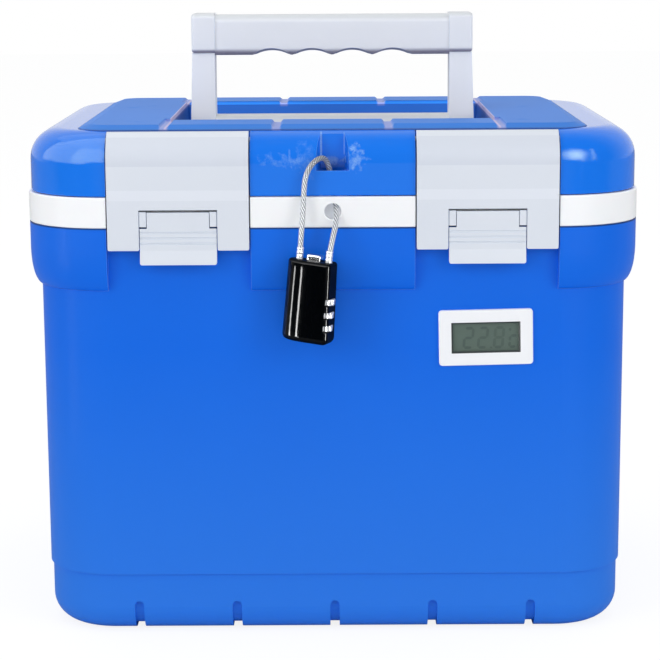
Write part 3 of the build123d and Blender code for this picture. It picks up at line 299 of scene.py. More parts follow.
def skin(name, rings, material, ring_closed=False, smooth=True):
    """Closed skin over a grid of points, rings[i, j]: quads join each ring to the next.

    j runs round a ring and closes on itself. The stack of rings closes on itself when
    ring_closed is set, and otherwise its first and last rings are filled. The skin is
    turned outwards by the sign of its volume, the sum of p0 . (p1 x p2) over its faces.
    """
    count, around = rings.shape[:2]
    rows = np.arange(count if ring_closed else count - 1)[:, None]
    columns = np.arange(around)[None, :]
    near, far = rows, (rows + 1) % count
    here, after = columns, (columns + 1) % around
    quads = np.stack(np.broadcast_arrays(
        near * around + here, near * around + after, far * around + after, far * around + here
    ), axis=-1).reshape(-1, 4)
    points = rings.reshape(-1, 3)
    corner = (points - points.mean(axis=0))[quads]
    volume = np.einsum("ij,ij->", corner[:, 0], np.cross(corner[:, 1], corner[:, 2]))
    volume += np.einsum("ij,ij->", corner[:, 0], np.cross(corner[:, 2], corner[:, 3]))
    faces = quads.tolist()
    if not ring_closed:
        faces.append(list(range(around))[::-1])
        faces.append(list(range((count - 1) * around, count * around)))
    if volume < 0:
        faces = [face[::-1] for face in faces]
    piece = new_piece(name, points, faces, material)
    piece.data.polygons.foreach_set("use_smooth", np.full(len(faces), smooth))
    piece.data.update()
    return piece


def run_along(line):
    """Length run from the line's start to each of its points."""
    return np.concatenate([[0], np.cumsum(np.linalg.norm(np.diff(line, axis=0), axis=1))])


def round_angles(count):
    """Even angles once round, as one row."""
    return (np.arange(count) * 2 * np.pi / count)[None, :]


def tube_rings(line, radius_at, around):
    """Rings round a line: point + radius(angle, run) * (cos a * side + sin a * rise).

    Side is the tangent crossed with X, which the line never follows, and rise completes it.
    """
    tangent = unit(np.gradient(line, axis=0))
    side = unit(np.cross(tangent, np.array([1.0, 0.0, 0.0])))
    rise = np.cross(side, tangent)
    angle = round_angles(around)
    radius = radius_at(angle, run_along(line)[:, None])
    outward = (np.cos(angle)[..., None] * side[:, None, :]
               + np.sin(angle)[..., None] * rise[:, None, :])
    return line[:, None, :] + radius[..., None] * outward


def resample(line, step):
    """The same line with points an even step apart."""
    run = run_along(line)
    even = np.linspace(0, run[-1], int(run[-1] / step) + 1)
    return np.stack([np.interp(even, run, line[:, k]) for k in range(3)], axis=1)


def strand_lobe(angle, run):
    """Round strands laid as a helix: |sin(n/2 (angle - 2 pi run/lay))|, 0 in a valley."""
    return np.abs(np.sin(STRANDS / 2 * (angle - 2 * np.pi * run / STRAND_LAY)))


def rope_radius(angle, run):
    """R (c + (1 - c) lobe), c being the core's share of the radius R."""
    return ROPE_DIAMETER / 2 * (CORE_SHARE + (1 - CORE_SHARE) * strand_lobe(angle, run))


def sleeve_radius(angle, run):
    """Constant radius of the drawn sleeve."""
    return np.full(np.broadcast_shapes(angle.shape, run.shape), CABLE_DIAMETER / 2)


# galvanised steel wire, drawn and laid: bright zinc with painted shade in the valleys between
# strands, and greyer towards the top of its bend in the lid's pocket
ZINC_GREY, ZINC_BRIGHT, VALLEY_SHADE, BEND_GREY = "DDE0E4", "FBFBFC", "2B313A", "5C5F66"
ZINC_GRAIN_MM = 0.9
material, tree = new_material("galvanised_wire_rope")
where = add_node(tree, "TexCoord").outputs["Object"]
spangle = add_node(tree, "TexNoise", Vector=where, Scale=1000 / ZINC_GRAIN_MM, Detail=3.0)
valley = add_node(tree, "Attribute", {"attribute_name": "valley"}).outputs["Fac"]
height = add_node(tree, "SeparateXYZ", Vector=where).outputs["Z"]
bend = add_node(tree, "MapRange", _0=height, _1=BEND_GREY_FROM, _2=BEND_GREY_FULL, _3=0.0, _4=0.60)
tone = linear(ZINC_GREY)
# the valleys between strands are painted with shade
for mask, tint in ((spangle, ZINC_BRIGHT), (valley, VALLEY_SHADE), (bend, BEND_GREY)):
    tone = add_node(tree, "Mix", {"data_type": "RGBA"}, Factor=mask, _6=tone, _7=linear(tint))
finish_material(tree, add_node(tree, "BsdfPrincipled", Base_Color=tone, Metallic=0.15,
                               Roughness=0.36))
rope_steel = material


def lit_through(tree, shader):
    """Lets shadow and diffuse rays pass a clear body, so that what lies under it is lit."""
    seen = add_node(tree, "LightPath").outputs
    passes = add_node(tree, "Math", {"operation": "MAXIMUM"}, _0=seen["Is Shadow Ray"],
                      _1=seen["Is Diffuse Ray"])
    through = add_node(tree, "BsdfTransparent", Color=linear("F4F6F8"))
    return add_node(tree, "MixShader", _0=passes, _1=shader, _2=through)


# clear soft vinyl, drawn down tight on the rope: a see-through coat with a soft gloss
VINYL_HAZE_MM = 2.0
material, tree = new_material("clear_vinyl_sleeve")
haze = add_node(tree, "TexNoise", Vector=add_node(tree, "TexCoord").outputs["Object"],
                Scale=1000 / VINYL_HAZE_MM, Detail=2.0)
rough = add_node(tree, "MapRange", _0=haze, _3=0.10, _4=0.25)
shader = add_node(tree, "BsdfPrincipled", Base_Color=linear("FDFDFE"), Roughness=0.03,
                  IOR=1.02, Transmission_Weight=1.0, Coat_Weight=1.0, Coat_Roughness=rough,
                  Coat_IOR=1.35)
finish_material(tree, lit_through(tree, shader))
sleeve_vinyl = material

cable_line = resample(smooth_line(CABLE_ROUTE, "cable_route"), LINE_STEP)
rope = skin("lock_cable_rope", tube_rings(cable_line, rope_radius, ROPE_SIDES), rope_steel)
# a valley takes painted shade where the lobe is low: 1.55 - 1.8 lobe, kept between 0 and 1
lobe = strand_lobe(round_angles(ROPE_SIDES), run_along(cable_line)[:, None])
valley = rope.data.attributes.new("valley", "FLOAT", "POINT")
valley.data.foreach_set("value", np.clip(1.55 - 1.8 * lobe, 0, 1).ravel())
sleeve_line = cable_line[::SLEEVE_EVERY]
sleeve = skin("lock_cable_sleeve", tube_rings(sleeve_line, sleeve_radius, SLEEVE_SIDES),
              sleeve_vinyl)
for piece in (rope, sleeve):
    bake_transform(piece)
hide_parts("lock_cable")

# ------------------------------------------------------------------ outer case
# One blow-moulded shell of blue polypropylene with a thick collar, satin from the tool,
# with a faint orange-peel skin and the dull hairlines of handling.
CASE_BLUE, CASE_BLUE_PALE, RUBBED_AND_HIGHLIGHT_PALE = "0065E0", "056BE6", "A9CDF6"
MOTTLE_MM, PEEL_MM, EDGE_MM = 90.0, 4.5, 0.45
# the tool's grain and the hairlines are finer than this, and are drawn so that they show
GRAIN_MM, HAIRLINE_MM, HAIRLINES_DRAWN_OUT = 0.7, 18.18, 9.0
PEEL_DEEP, GRAIN_DEEP = 0.00006, 0.00002
FOOT_SHEEN_BLUE, FOOT_FROM, FOOT_FULL = "2C7AE2", 0.150, 0.010
GAP_SHADE_NAVY, GAP_FROM, GAP_FULL = "0A2350", 0.2104, 0.2110


def dress(names, material):
    """Gives CAD nodes a material in place of their packed one."""
    for name in names:
        mesh = nodes[name].data
        mesh.materials.clear()
        mesh.materials.append(material)


def moulded_plastic(name, colour, pale, roughness, peel_mm=PEEL_MM, scuff=0.25, ior=1.49,
                    scatter=0.0, sheen=0.5, gloss_tint=WHITE, edge=0.35, marks=None,
                    painted_glow=None):
    """Injection- or blow-moulded thermoplastic.

    Colour drifts between two close shades over the wall; an orange-peel wave and a fine
    grain lift the surface by hundredths of a millimetre; short hairlines dull it. Edges
    are rubbed paler, and painted with a highlight, where a rounded normal leaves the true
    one. marks(tree, coords) gives the marks of this one piece as masks and tints, laid
    over its colour in turn, and the glow argument, called the same way, the strength of
    a painted glow: light that the surface gives off itself.
    """
    material, tree = new_material(name)
    coords = add_node(tree, "TexCoord").outputs
    where = coords["Object"]
    mottle = add_node(tree, "TexNoise", Vector=where, Scale=1000 / MOTTLE_MM, Detail=3.0,
                      Roughness=0.55)
    streak_at = add_node(tree, "Mapping", Vector=where, Rotation=(0.3, 0.5, 0.2),
                         Scale=(1.0, 1.0, HAIRLINES_DRAWN_OUT))
    streaks = add_node(tree, "TexNoise", Vector=streak_at, Scale=1000 / HAIRLINE_MM, Detail=6.0,
                       Roughness=0.62)
    hairline = add_node(tree, "MapRange", _0=streaks, _1=0.60, _2=0.78, _3=0.0, _4=scuff)
    dull = add_node(tree, "MapRange", _0=hairline, _1=0.0, _2=1.0, _3=roughness,
                    _4=min(1.0, roughness + 0.35))
    rounded = add_node(tree, "Bevel", {"samples": 4}, Radius=EDGE_MM / 1000)
    facing = add_node(tree, "VectorMath", {"operation": "DOT_PRODUCT"}, _0=rounded,
                      _1=add_node(tree, "NewGeometry").outputs["Normal"])
    bend = add_node(tree, "MapRange", _0=facing, _1=0.99, _2=0.80, _3=0.0, _4=edge)
    tone = linear(colour)
    # rounded edges are rubbed paler and painted with a highlight
    for mask, tint in ((mottle, pale), (hairline, pale), (bend, RUBBED_AND_HIGHLIGHT_PALE),
                       *(marks(tree, coords) if marks else ())):
        tone = add_node(tree, "Mix", {"data_type": "RGBA"}, Factor=mask,
                        _6=tone, _7=linear(tint))
    peel = add_node(tree, "TexNoise", Vector=where, Scale=1000 / peel_mm, Detail=2.0)
    grain = add_node(tree, "TexNoise", Vector=where, Scale=1000 / GRAIN_MM, Detail=2.0)
    wave = add_node(tree, "Bump", Height=peel, Strength=0.5, Distance=PEEL_DEEP)
    bumps = add_node(tree, "Bump", Height=grain, Strength=0.5, Distance=GRAIN_DEEP, Normal=wave)
    # a painted glow: light that the surface gives off itself
    glow = {"Emission_Color": tone, "Emission_Strength": painted_glow(tree, coords)} if painted_glow else {}
    shader = add_node(tree, "BsdfPrincipled", Base_Color=tone, Roughness=dull, IOR=ior,
                      Normal=bumps, Subsurface_Weight=scatter, Subsurface_Scale=0.002,
                      Specular_IOR_Level=sheen, Specular_Tint=linear(gloss_tint), **glow)
    finish_material(tree, shader)
    return material


def foot_wear(tree, coords):
    """Painted paler sheen towards the foot, and painted shade in the gap under the rim."""
    height = add_node(tree, "SeparateXYZ", Vector=coords["Object"]).outputs["Z"]
    # painted sheen, paler towards the foot
    low = add_node(tree, "MapRange", _0=height, _1=FOOT_FROM, _2=FOOT_FULL, _3=0.0, _4=0.95)
    # painted shade in the gap under the rim
    gap = add_node(tree, "MapRange", _0=height, _1=GAP_FROM, _2=GAP_FULL, _3=0.0, _4=0.8)
    return (low, FOOT_SHEEN_BLUE), (gap, GAP_SHADE_NAVY)


dress(["outer_shell"], moulded_plastic("blue_polypropylene", CASE_BLUE, CASE_BLUE_PALE, 0.34,
                                       sheen=0.15, marks=foot_wear))

# ------------------------------------------------------------------ lid
# The lid cover is injection moulded in the same blue, glossier than the case; the edge of
# its cable pocket is whitened where the cable has rubbed it, and carries painted highlights
# along the pocket's inner edges and painted shade in its foot.
LID_BLUE, LID_BLUE_PALE, LID_GLOSS = "1072EA", "1A7BF0", "E6F6A0"
RUB_AND_HIGHLIGHT_WHITE, POCKET_DARK = "9CC6FA", "083A9E"
RUB_CLOUD_MM, RUB_FLECK_MM = 3.2, 0.5
# painted shade in the pocket's foot in metres: middle, half width and softness along X, Y and Z
POCKET_SHADE = ((0.0, 0.0080, 0.0005), (-0.1060, 0.0035, 0.0010), (0.2400, 0.0035, 0.0030))
LID_FRONT_FROM, LID_FRONT_FULL = -0.090, -0.095
# rubs in metres: across, half width, height, half height, then strength
CABLE_RUBS = (
    (0.0104, 0.0026, 0.2500, 0.0016, 0.80),
    (0.0122, 0.0036, 0.2452, 0.0042, 0.70),
    (-0.0255, 0.0075, 0.2446, 0.0024, 0.34),
    (-0.0125, 0.0050, 0.2450, 0.0062, 0.19),
    (0.0000, 0.0062, 0.2442, 0.0016, 0.55),
)
# one whitened line at the left, then painted highlights along the pocket's inner edges, in
# metres: across, half width, height, half height, then strength
RUB_LINE_AND_EDGE_HIGHLIGHTS = (
    (-0.0212, 0.0003, 0.2470, 0.0020, 0.26),
    (-0.0056, 0.0003, 0.2506, 0.0062, 0.85),
    (0.0058, 0.0002, 0.2520, 0.0045, 0.50),
)


def span(tree, value, middle, half, soft):
    """1 where the value is within half of the middle, falling to 0 over soft beyond it."""
    off = add_node(tree, "Math", {"operation": "SUBTRACT"}, _0=value, _1=middle)
    away = add_node(tree, "Math", {"operation": "ABSOLUTE"}, _0=off)
    return add_node(tree, "MapRange", {"interpolation_type": "SMOOTHSTEP"}, _0=away,
                    _1=half, _2=half + soft, _3=1.0, _4=0.0)


def product(tree, *factors):
    """All the factors multiplied together."""
    joined = factors[0]
    for factor in factors[1:]:
        joined = add_node(tree, "Math", {"operation": "MULTIPLY"}, _0=joined, _1=factor)
    return joined


def cable_rubs(tree, coords):
    """Stress-whitened rubs round the cable pocket, painted highlights along its inner edges,
    and painted shade in the pocket's foot.

    A rub is 1 - |((x - a)/h, (z - c)/t)| pushed in and out by a cloud noise, in flecks.
    """
    where = coords["Object"]
    x, y, z = add_node(tree, "SeparateXYZ", Vector=where).outputs
    clouds = add_node(tree, "TexNoise", Vector=where, Scale=1000 / RUB_CLOUD_MM, Detail=4.0,
                      Roughness=0.55)
    flecks = add_node(tree, "TexNoise", Vector=where, Scale=1000 / RUB_FLECK_MM, Detail=3.0)
    flecked = add_node(tree, "MapRange", _0=flecks, _1=0.36, _2=0.66, _3=0.35, _4=1.0)
    # painted shade in the pocket's foot
    foot = product(tree, *[span(tree, axis, *extent)
                           for axis, extent in zip((x, y, z), POCKET_SHADE)], clouds)
    front = add_node(tree, "MapRange", _0=y, _1=LID_FRONT_FROM, _2=LID_FRONT_FULL)
    layers = [(foot, POCKET_DARK)]
    for across, half, height, tall, strength in CABLE_RUBS:
        centred = add_node(tree, "Mapping", {"vector_type": "POINT"}, Vector=where,
                           Location=(-across / half, 0.0, -height / tall),
                           Scale=(1 / half, 0.0, 1 / tall))
        away = add_node(tree, "VectorMath", {"operation": "LENGTH"}, _0=centred)
        ragged = add_node(tree, "Math", {"operation": "MULTIPLY_ADD"}, _0=clouds, _1=-5.0,
                          _2=away)
        spread = add_node(tree, "MapRange", _0=ragged, _1=-1.25, _2=-2.4, _3=0.0, _4=strength)
        layers.append((product(tree, spread, flecked, front), RUB_AND_HIGHLIGHT_WHITE))
    # a whitened line and painted highlights along the pocket's inner edges
    for across, half, height, tall, strength in RUB_LINE_AND_EDGE_HIGHLIGHTS:
        line = product(tree, span(tree, x, across, half, 0.0003),
                       span(tree, z, height, tall, 0.0015), front, flecked, strength)
        layers.append((line, RUB_AND_HIGHLIGHT_WHITE))
    return layers


dress(["lid_shell"], moulded_plastic("blue_polypropylene_lid", LID_BLUE, LID_BLUE_PALE, 0.11,
                                     ior=1.52, gloss_tint=LID_GLOSS, marks=cable_rubs))

# ------------------------------------------------------------------ handle tray
# The raised top plate round the handle well, moulded in a duller blue and welded to the
# lid; drain notches lead water from the well over its edges. The notches and the well's side
# rims carry painted highlights, the seat painted shade, and the well's rear wall a painted glow.
TRAY_BLUE, TRAY_BLUE_PALE = "1872D0", "2279D8"
DRAIN_HIGHLIGHT_PINK, SEAT_SHADE_NAVY, RIM_HIGHLIGHT_PINK = "D9CDE6", "0D2F7A", "C4B8DC"
DRAINS_AT = (-0.084, -0.028, 0.028, 0.084)
DRAIN_HALF, WELL_SIDE = 0.0014, 0.0832
DRAIN_LOW, DRAIN_LOW_FULL, TRAY_EDGE_FULL, TRAY_EDGE = 0.2575, 0.2585, 0.2604, 0.2609
SEAT_FROM, SEAT_FULL, RIM_FULL = 0.2592, 0.2588, 0.2594
WALL_LOW, WALL_LOW_FULL, WALL_TOP_FULL, WALL_TOP = 0.236, 0.246, 0.2595, 0.2610


def worn_drains(tree, coords):
    """Painted pinkish-white highlights on the drain notches and the well's side rims,
    and painted shade along the seat.
    """
    place = add_node(tree, "SeparateXYZ", Vector=coords["Object"]).outputs
    below_top = add_node(tree, "MapRange", _0=place["Z"], _1=TRAY_EDGE, _2=TRAY_EDGE_FULL)
    above = add_node(tree, "MapRange", _0=place["Z"], _1=DRAIN_LOW, _2=DRAIN_LOW_FULL)
    # painted pinkish-white highlights in the drain notches
    layers = [(product(tree, span(tree, place["X"], centre, DRAIN_HALF, 0.0014), below_top,
                       above, 0.38), DRAIN_HIGHLIGHT_PINK) for centre in DRAINS_AT]
    # painted shade along the seat
    seat = add_node(tree, "MapRange", _0=place["Z"], _1=SEAT_FROM, _2=SEAT_FULL,
                    _3=0.0, _4=0.7)
    side = add_node(tree, "Math", {"operation": "ABSOLUTE"}, _0=place["X"])
    # painted highlight on the well's side rims
    rim = product(tree, span(tree, side, WELL_SIDE, 0.0003, 0.0005),
                  add_node(tree, "MapRange", _0=place["Z"], _1=SEAT_FULL, _2=RIM_FULL))
    return layers + [(seat, SEAT_SHADE_NAVY), (rim, RIM_HIGHLIGHT_PINK)]


def well_glow(tree, coords):
    """Painted light on the front face of the handle well's rear wall, which the wall gives off
    itself.
    """
    place = add_node(tree, "SeparateXYZ", Vector=coords["Object"]).outputs
    turned = add_node(tree, "SeparateXYZ", Vector=coords["Normal"]).outputs
    return product(tree, add_node(tree, "MapRange", _0=turned["Y"], _1=-0.5, _2=-0.9),
                   add_node(tree, "MapRange", _0=place["Z"], _1=WALL_TOP, _2=WALL_TOP_FULL,
                            _3=0.0, _4=0.95),
                   add_node(tree, "MapRange", _0=place["Z"], _1=WALL_LOW, _2=WALL_LOW_FULL),
                   add_node(tree, "MapRange", _0=place["Y"], _1=0.0, _2=0.010))


dress(["handle_tray"], moulded_plastic("blue_polypropylene_tray", TRAY_BLUE, TRAY_BLUE_PALE,
                                       0.50, ior=1.34, edge=0.5, marks=worn_drains,
                                       painted_glow=well_glow))

# ------------------------------------------------------------------ liner and rim band
# White food-grade polypropylene: the chamber, moulded in one with the rim band, and the
# lid's inner panel, which is moulded by itself and a shade duller.
LINER_WHITE, LINER_SHADE = "FBFCFD", "F3F5F8"
LID_LINER_WHITE, LID_LINER_SHADE = "EEF1F4", "E6EAEF"
EYE_AT, EYE_REACH = (0.0, -0.1110, 0.2192), 0.0075
EYE_FACE, EYE_FACE_FULL, EYE_TOP, EYE_LIP = -0.1143, -0.1135, 0.2235, 0.2150


def eye_light(tree, coords):
    """Painted light inside the lock eye, given off by its own surface: it fades from the lower
    lip up, and back from the face.
    """
    place = add_node(tree, "SeparateXYZ", Vector=coords["Object"]).outputs
    reach = add_node(tree, "VectorMath", {"operation": "DISTANCE"}, _0=coords["Object"],
                     _1=EYE_AT)
    return product(tree, add_node(tree, "MapRange", _0=reach, _1=EYE_REACH, _2=EYE_REACH * 0.9),
                   add_node(tree, "MapRange", _0=place["Y"], _1=EYE_FACE, _2=EYE_FACE_FULL),
                   add_node(tree, "MapRange", _0=place["Z"], _1=EYE_TOP, _2=EYE_LIP,
                            _3=0.18, _4=0.70))


dress(["inner_liner"], moulded_plastic("white_polypropylene", LINER_SHADE, LINER_WHITE, 0.30,
                                       scuff=0.12, scatter=0.05, edge=0.0, painted_glow=eye_light))
dress(["lid_liner"], moulded_plastic("white_polypropylene_lid", LID_LINER_SHADE,
                                     LID_LINER_WHITE, 0.46, scuff=0.12, ior=1.38,
                                     scatter=0.05, edge=0.0))

# ------------------------------------------------------------------ insulation
# Rigid polyurethane foam, poured between the walls of the case and of the lid, where it
# sets against them: cream, with open cells where it is trimmed.
FOAM_CREAM, FOAM_PALE, FOAM_CELL_MM = "D9CFA6", "EFE8C8", 1.2
material, tree = new_material("rigid_polyurethane_foam")
cells = add_node(tree, "TexVoronoi", Vector=add_node(tree, "TexCoord").outputs["Object"],
                 Scale=1000 / FOAM_CELL_MM)
tone = add_node(tree, "Mix", {"data_type": "RGBA"}, Factor=cells,
                _6=linear(FOAM_CREAM), _7=linear(FOAM_PALE))
pits = add_node(tree, "Bump", Height=cells, Strength=0.8, Distance=0.0004)
finish_material(tree, add_node(tree, "BsdfPrincipled", Base_Color=tone, Roughness=0.92,
                               Normal=pits))
dress(["box_insulation", "lid_insulation"], material)

# ------------------------------------------------------------------ gasket
# A ring of extruded silicone rubber, pressed into the lid's groove and closed against the
# rim: pale grey, with a soft sheen and fine dust.


def clouded_finish(name, cloud_mm, detail, tones, rough, dent=None, **settings):
    """A plain finish of two close tones that drift in clouds of cloud_mm.

    Where rough is a pair the roughness follows the clouds. A dent is a bump's strength
    and its depth in metres. The settings go to the shader as they are.
    """
    material, tree = new_material(name)
    clouds = add_node(tree, "TexNoise", Vector=add_node(tree, "TexCoord").outputs["Object"],
                      Scale=1000 / cloud_mm, Detail=detail)
    tone = add_node(tree, "Mix", {"data_type": "RGBA"}, Factor=clouds,
                    _6=linear(tones[0]), _7=linear(tones[1]))
    if isinstance(rough, tuple):
        rough = add_node(tree, "MapRange", _0=clouds, _3=rough[0], _4=rough[1])
    if dent:
        settings["Normal"] = add_node(tree, "Bump", Height=clouds, Strength=dent[0],
                                      Distance=dent[1])
    finish_material(tree, add_node(tree, "BsdfPrincipled", Base_Color=tone, Roughness=rough,
                                   **settings))
    return material


dress(["lid_gasket"], clouded_finish("silicone_rubber", 3.0, 6.0, ("C3C6C9", "DCDEE0"), 0.62,
                                     dent=(0.4, 0.00005), IOR=1.42))

# ------------------------------------------------------------------ latches and levers
# Two draw latches moulded in pale grey ABS, smoother and a shade cooler than the rim band.
# Each panel turns on a pin in the lid, and its lever on a pin in the panel.
LATCH_GREY, LATCH_GREY_PALE = "D6DCE6", "DFE4EC"
# painted shade on the shoulder, then a sink, in metres: height, half height, then tint
SHADE_AND_SINK_BANDS = ((0.2490, 0.0068, "D2D8E3"), (0.2277, 0.0024, "E0E5EE"))


def sink_bands(tree, coords):
    """Painted shade across the panel's upper shoulder, and a band where the wall behind it
    changes thickness.
    """
    place = add_node(tree, "SeparateXYZ", Vector=coords["Object"]).outputs
    return [(span(tree, place["Z"], height, half, 0.0003), tint)
            for height, half, tint in SHADE_AND_SINK_BANDS]


dress(["latch_panel_left", "latch_panel_right"],
      moulded_plastic("pale_grey_abs", LATCH_GREY, LATCH_GREY_PALE, 0.36, peel_mm=7.0,
                      scuff=0.15, ior=1.53, sheen=0.15, marks=sink_bands))
dress(["latch_lever_left", "latch_lever_right"],
      moulded_plastic("pale_grey_abs_lever", LATCH_GREY, LATCH_GREY_PALE, 0.34, peel_mm=7.0,
                      scuff=0.15, ior=1.53, sheen=0.2))

# ------------------------------------------------------------------ handle
# The folding handle, moulded in the same ABS: grip, end caps and cross bar carry painted
# shade on faces that look down and, a little, on faces that look up, and the legs are
# painted lighter than the grip.
HANDLE_GREY, HANDLE_GREY_PALE = "E6E9EE", "EEF0F4"
LEG_LIT_WHITE, LEG_LIT_WHITE_PALE = "F2F5F9", "F9FAFC"
UNDERSIDE_SHADE_GREY, TOPSIDE_SHADE_GREY = "9A929D", "D3D7DC"


def hand_grime(tree, coords):
    """Painted shade the more a face looks down, and a little on faces that look up."""
    turned = add_node(tree, "SeparateXYZ", Vector=coords["Normal"]).outputs
    under = add_node(tree, "MapRange", _0=turned["Z"], _1=-0.12, _2=-0.60, _3=0.0, _4=0.95)
    upper = add_node(tree, "MapRange", _0=turned["Z"], _1=0.10, _2=0.60)
    return (under, UNDERSIDE_SHADE_GREY), (upper, TOPSIDE_SHADE_GREY)


dress(["handle_grip", "handle_cap_left", "handle_cap_right", "handle_cross_bar"],
      moulded_plastic("pale_grey_abs_handle", HANDLE_GREY, HANDLE_GREY_PALE, 0.38, peel_mm=6.0,
                      scuff=0.2, ior=1.53, marks=hand_grime))
# the legs are painted lighter than the grip, in the same plastic
dress(["handle_leg_left", "handle_leg_right"],
      moulded_plastic("pale_grey_abs_legs_painted_lighter", LEG_LIT_WHITE, LEG_LIT_WHITE_PALE, 0.42, peel_mm=6.0,
                      scuff=0.2, ior=1.53))

# ------------------------------------------------------------------ hinges, pins and screws
# Rear hinges pressed from stainless sheet and brushed along X, which draws the highlights
# out across the lines; turned pins and pan-head screws of the same steel.
STEEL_GREY, STEEL_BRIGHT = "A8ABAF", "CDD0D3"
# the brushed lines are several times as coarse as the real ones, so that they show
BRUSH_MM, BRUSH_DRAWN_OUT, BRUSH_DEEP = 0.35, 0.03, 0.00002
material, tree = new_material("brushed_stainless_steel")
along = add_node(tree, "Mapping", Vector=add_node(tree, "TexCoord").outputs["Object"],
                 Scale=(BRUSH_DRAWN_OUT, 1.0, 1.0))
lines = add_node(tree, "TexNoise", Vector=along, Scale=1000 / BRUSH_MM, Detail=4.0,
                 Roughness=0.6)
tone = add_node(tree, "Mix", {"data_type": "RGBA"}, Factor=lines,
                _6=linear(STEEL_GREY), _7=linear(STEEL_BRIGHT))
rough = add_node(tree, "MapRange", _0=lines, _3=0.24, _4=0.42)
brushed = add_node(tree, "Bump", Height=lines, Strength=0.3, Distance=BRUSH_DEEP)
finish_material(tree, add_node(tree, "BsdfPrincipled", Base_Color=tone, Metallic=1.0,
                               Roughness=rough, Normal=brushed))
dress([name for name in nodes if name.startswith("hinge_")], material)
dress(["latch_pin_left", "latch_pin_right", "lever_pin_left", "lever_pin_right",
       "handle_pins", "lock_spindle", "thermometer_probe"], material)

# ------------------------------------------------------------------ thermometer
# A panel thermometer: white bezel with a clear window over a grey-green liquid crystal
# display, in a black case with its board, two button cells and a steel probe.
PANEL_CENTRE = np.array([0.0763, -0.1085, 0.1550])
WINDOW_HALF, WINDOW_HALF_TALL = 0.0176, 0.0083
SLOPE_SHADE_GREY = "3A4040"


def window_slope(tree, coords):
    """The slope round the window is painted dark grey as shade; the face stays white."""
    turned = add_node(tree, "SeparateXYZ",
                      Vector=add_node(tree, "NewGeometry").outputs["True Normal"]).outputs
    place = add_node(tree, "SeparateXYZ", Vector=coords["Object"]).outputs
    shaded_slope = product(tree, span(tree, place["X"], PANEL_CENTRE[0], WINDOW_HALF, 0.0002),
                     span(tree, place["Z"], PANEL_CENTRE[2], WINDOW_HALF_TALL, 0.0002),
                     add_node(tree, "MapRange", _0=turned["Y"], _1=-0.97, _2=-0.93))
    return [(shaded_slope, SLOPE_SHADE_GREY)]


dress(["thermometer_bezel"], moulded_plastic("white_abs_bezel", "F1F3F6", "FAFBFD", 0.32,
                                             scuff=0.1, ior=1.53, edge=0.0,
                                             marks=window_slope))
dress(["thermometer_case"], moulded_plastic("black_abs_case", "17181A", "222326", 0.45,
                                            scuff=0.2, ior=1.53))

# cast acrylic, polished: clear, with the soft smear that wiping leaves
SMEAR_MM = 9.0
material, tree = new_material("clear_acrylic_window")
smear = add_node(tree, "TexNoise", Vector=add_node(tree, "TexCoord").outputs["Object"],
                 Scale=1000 / SMEAR_MM, Detail=3.0)
rough = add_node(tree, "MapRange", _0=smear, _3=0.02, _4=0.09)
shader = add_node(tree, "BsdfPrincipled", Base_Color=linear(WHITE), Roughness=rough, IOR=1.49,
                  Transmission_Weight=1.0)
finish_material(tree, lit_through(tree, shader))
dress(["thermometer_lens"], material)

# liquid crystal between two glasses: flat grey-green with an even soft gloss
dress(["thermometer_lcd"], clouded_finish("liquid_crystal_display", 14.0, 2.0,
                                          ("67776D", "707F74"), 0.22))

# printed board: copper tracks under green lacquer, drawn as a grid of them
TRACK_MM = 3.846
material, tree = new_material("glass_fibre_circuit_board")
tracks = add_node(tree, "TexBrick", Vector=add_node(tree, "TexCoord").outputs["Object"],
                  Scale=1000 / TRACK_MM, Color1=linear("145236"), Color2=linear("1B6342"),
                  Mortar=linear("7C9A4A"), Mortar_Size=0.012)
finish_material(tree, add_node(tree, "BsdfPrincipled", Base_Color=tracks, Roughness=0.3))
dress(["thermometer_board"], material)

# nickel plating on pressed steel: a warm metal, unevenly bright from handling
PLATING_MM = 1.5
material, tree = new_material("nickel_plated_steel_cell")
plating = add_node(tree, "TexNoise", Vector=add_node(tree, "TexCoord").outputs["Object"],
                   Scale=1000 / PLATING_MM, Detail=4.0)
rough = add_node(tree, "MapRange", _0=plating, _3=0.16, _4=0.34)
finish_material(tree, add_node(tree, "BsdfPrincipled", Base_Color=linear("C9C6BE"),
                               Metallic=1.0, Roughness=rough))
dress(["thermometer_cells"], material)

# moulded nitrile: black, with a grey bloom in patches and no gloss
dress(["probe_grommet"], clouded_finish("black_nitrile_rubber", 1.2, 5.0,
                                        ("171717", "2B2B2C"), 0.65))

# Digits of the display, of up to seven slanted bars each, switched on in the liquid crystal.
PANEL_TURN = radians(1.1)
PANEL_ACROSS = np.array([cos(PANEL_TURN), 0.0, sin(PANEL_TURN)])
PANEL_UP = np.array([-sin(PANEL_TURN), 0.0, cos(PANEL_TURN)])
PANEL_OUT = np.array([0.0, -1.0, 0.0])
BAR_W, BAR_GAP, SLANT, BAR_THICK_MM = 1.4, 0.12, 0.10, 0.03
SEGMENTS = {"2": "abged", "8": "abcdefg", "C": "adef"}
DIGITS = (
    # symbol, then in millimetres: across, up, width, height
    ("2", -8.6, -0.3, 4.1, 9.8),
    ("2", -1.4, -0.3, 4.1, 9.8),
    ("8", 6.6, -0.3, 4.1, 9.8),
    ("C", 13.6, -2.4, 3.2, 5.6),
)
# the decimal point and the degree sign in millimetres: across, up, radius
DOTS = ((2.6, -5.4, 0.6), (12.2, 3.6, 0.8))


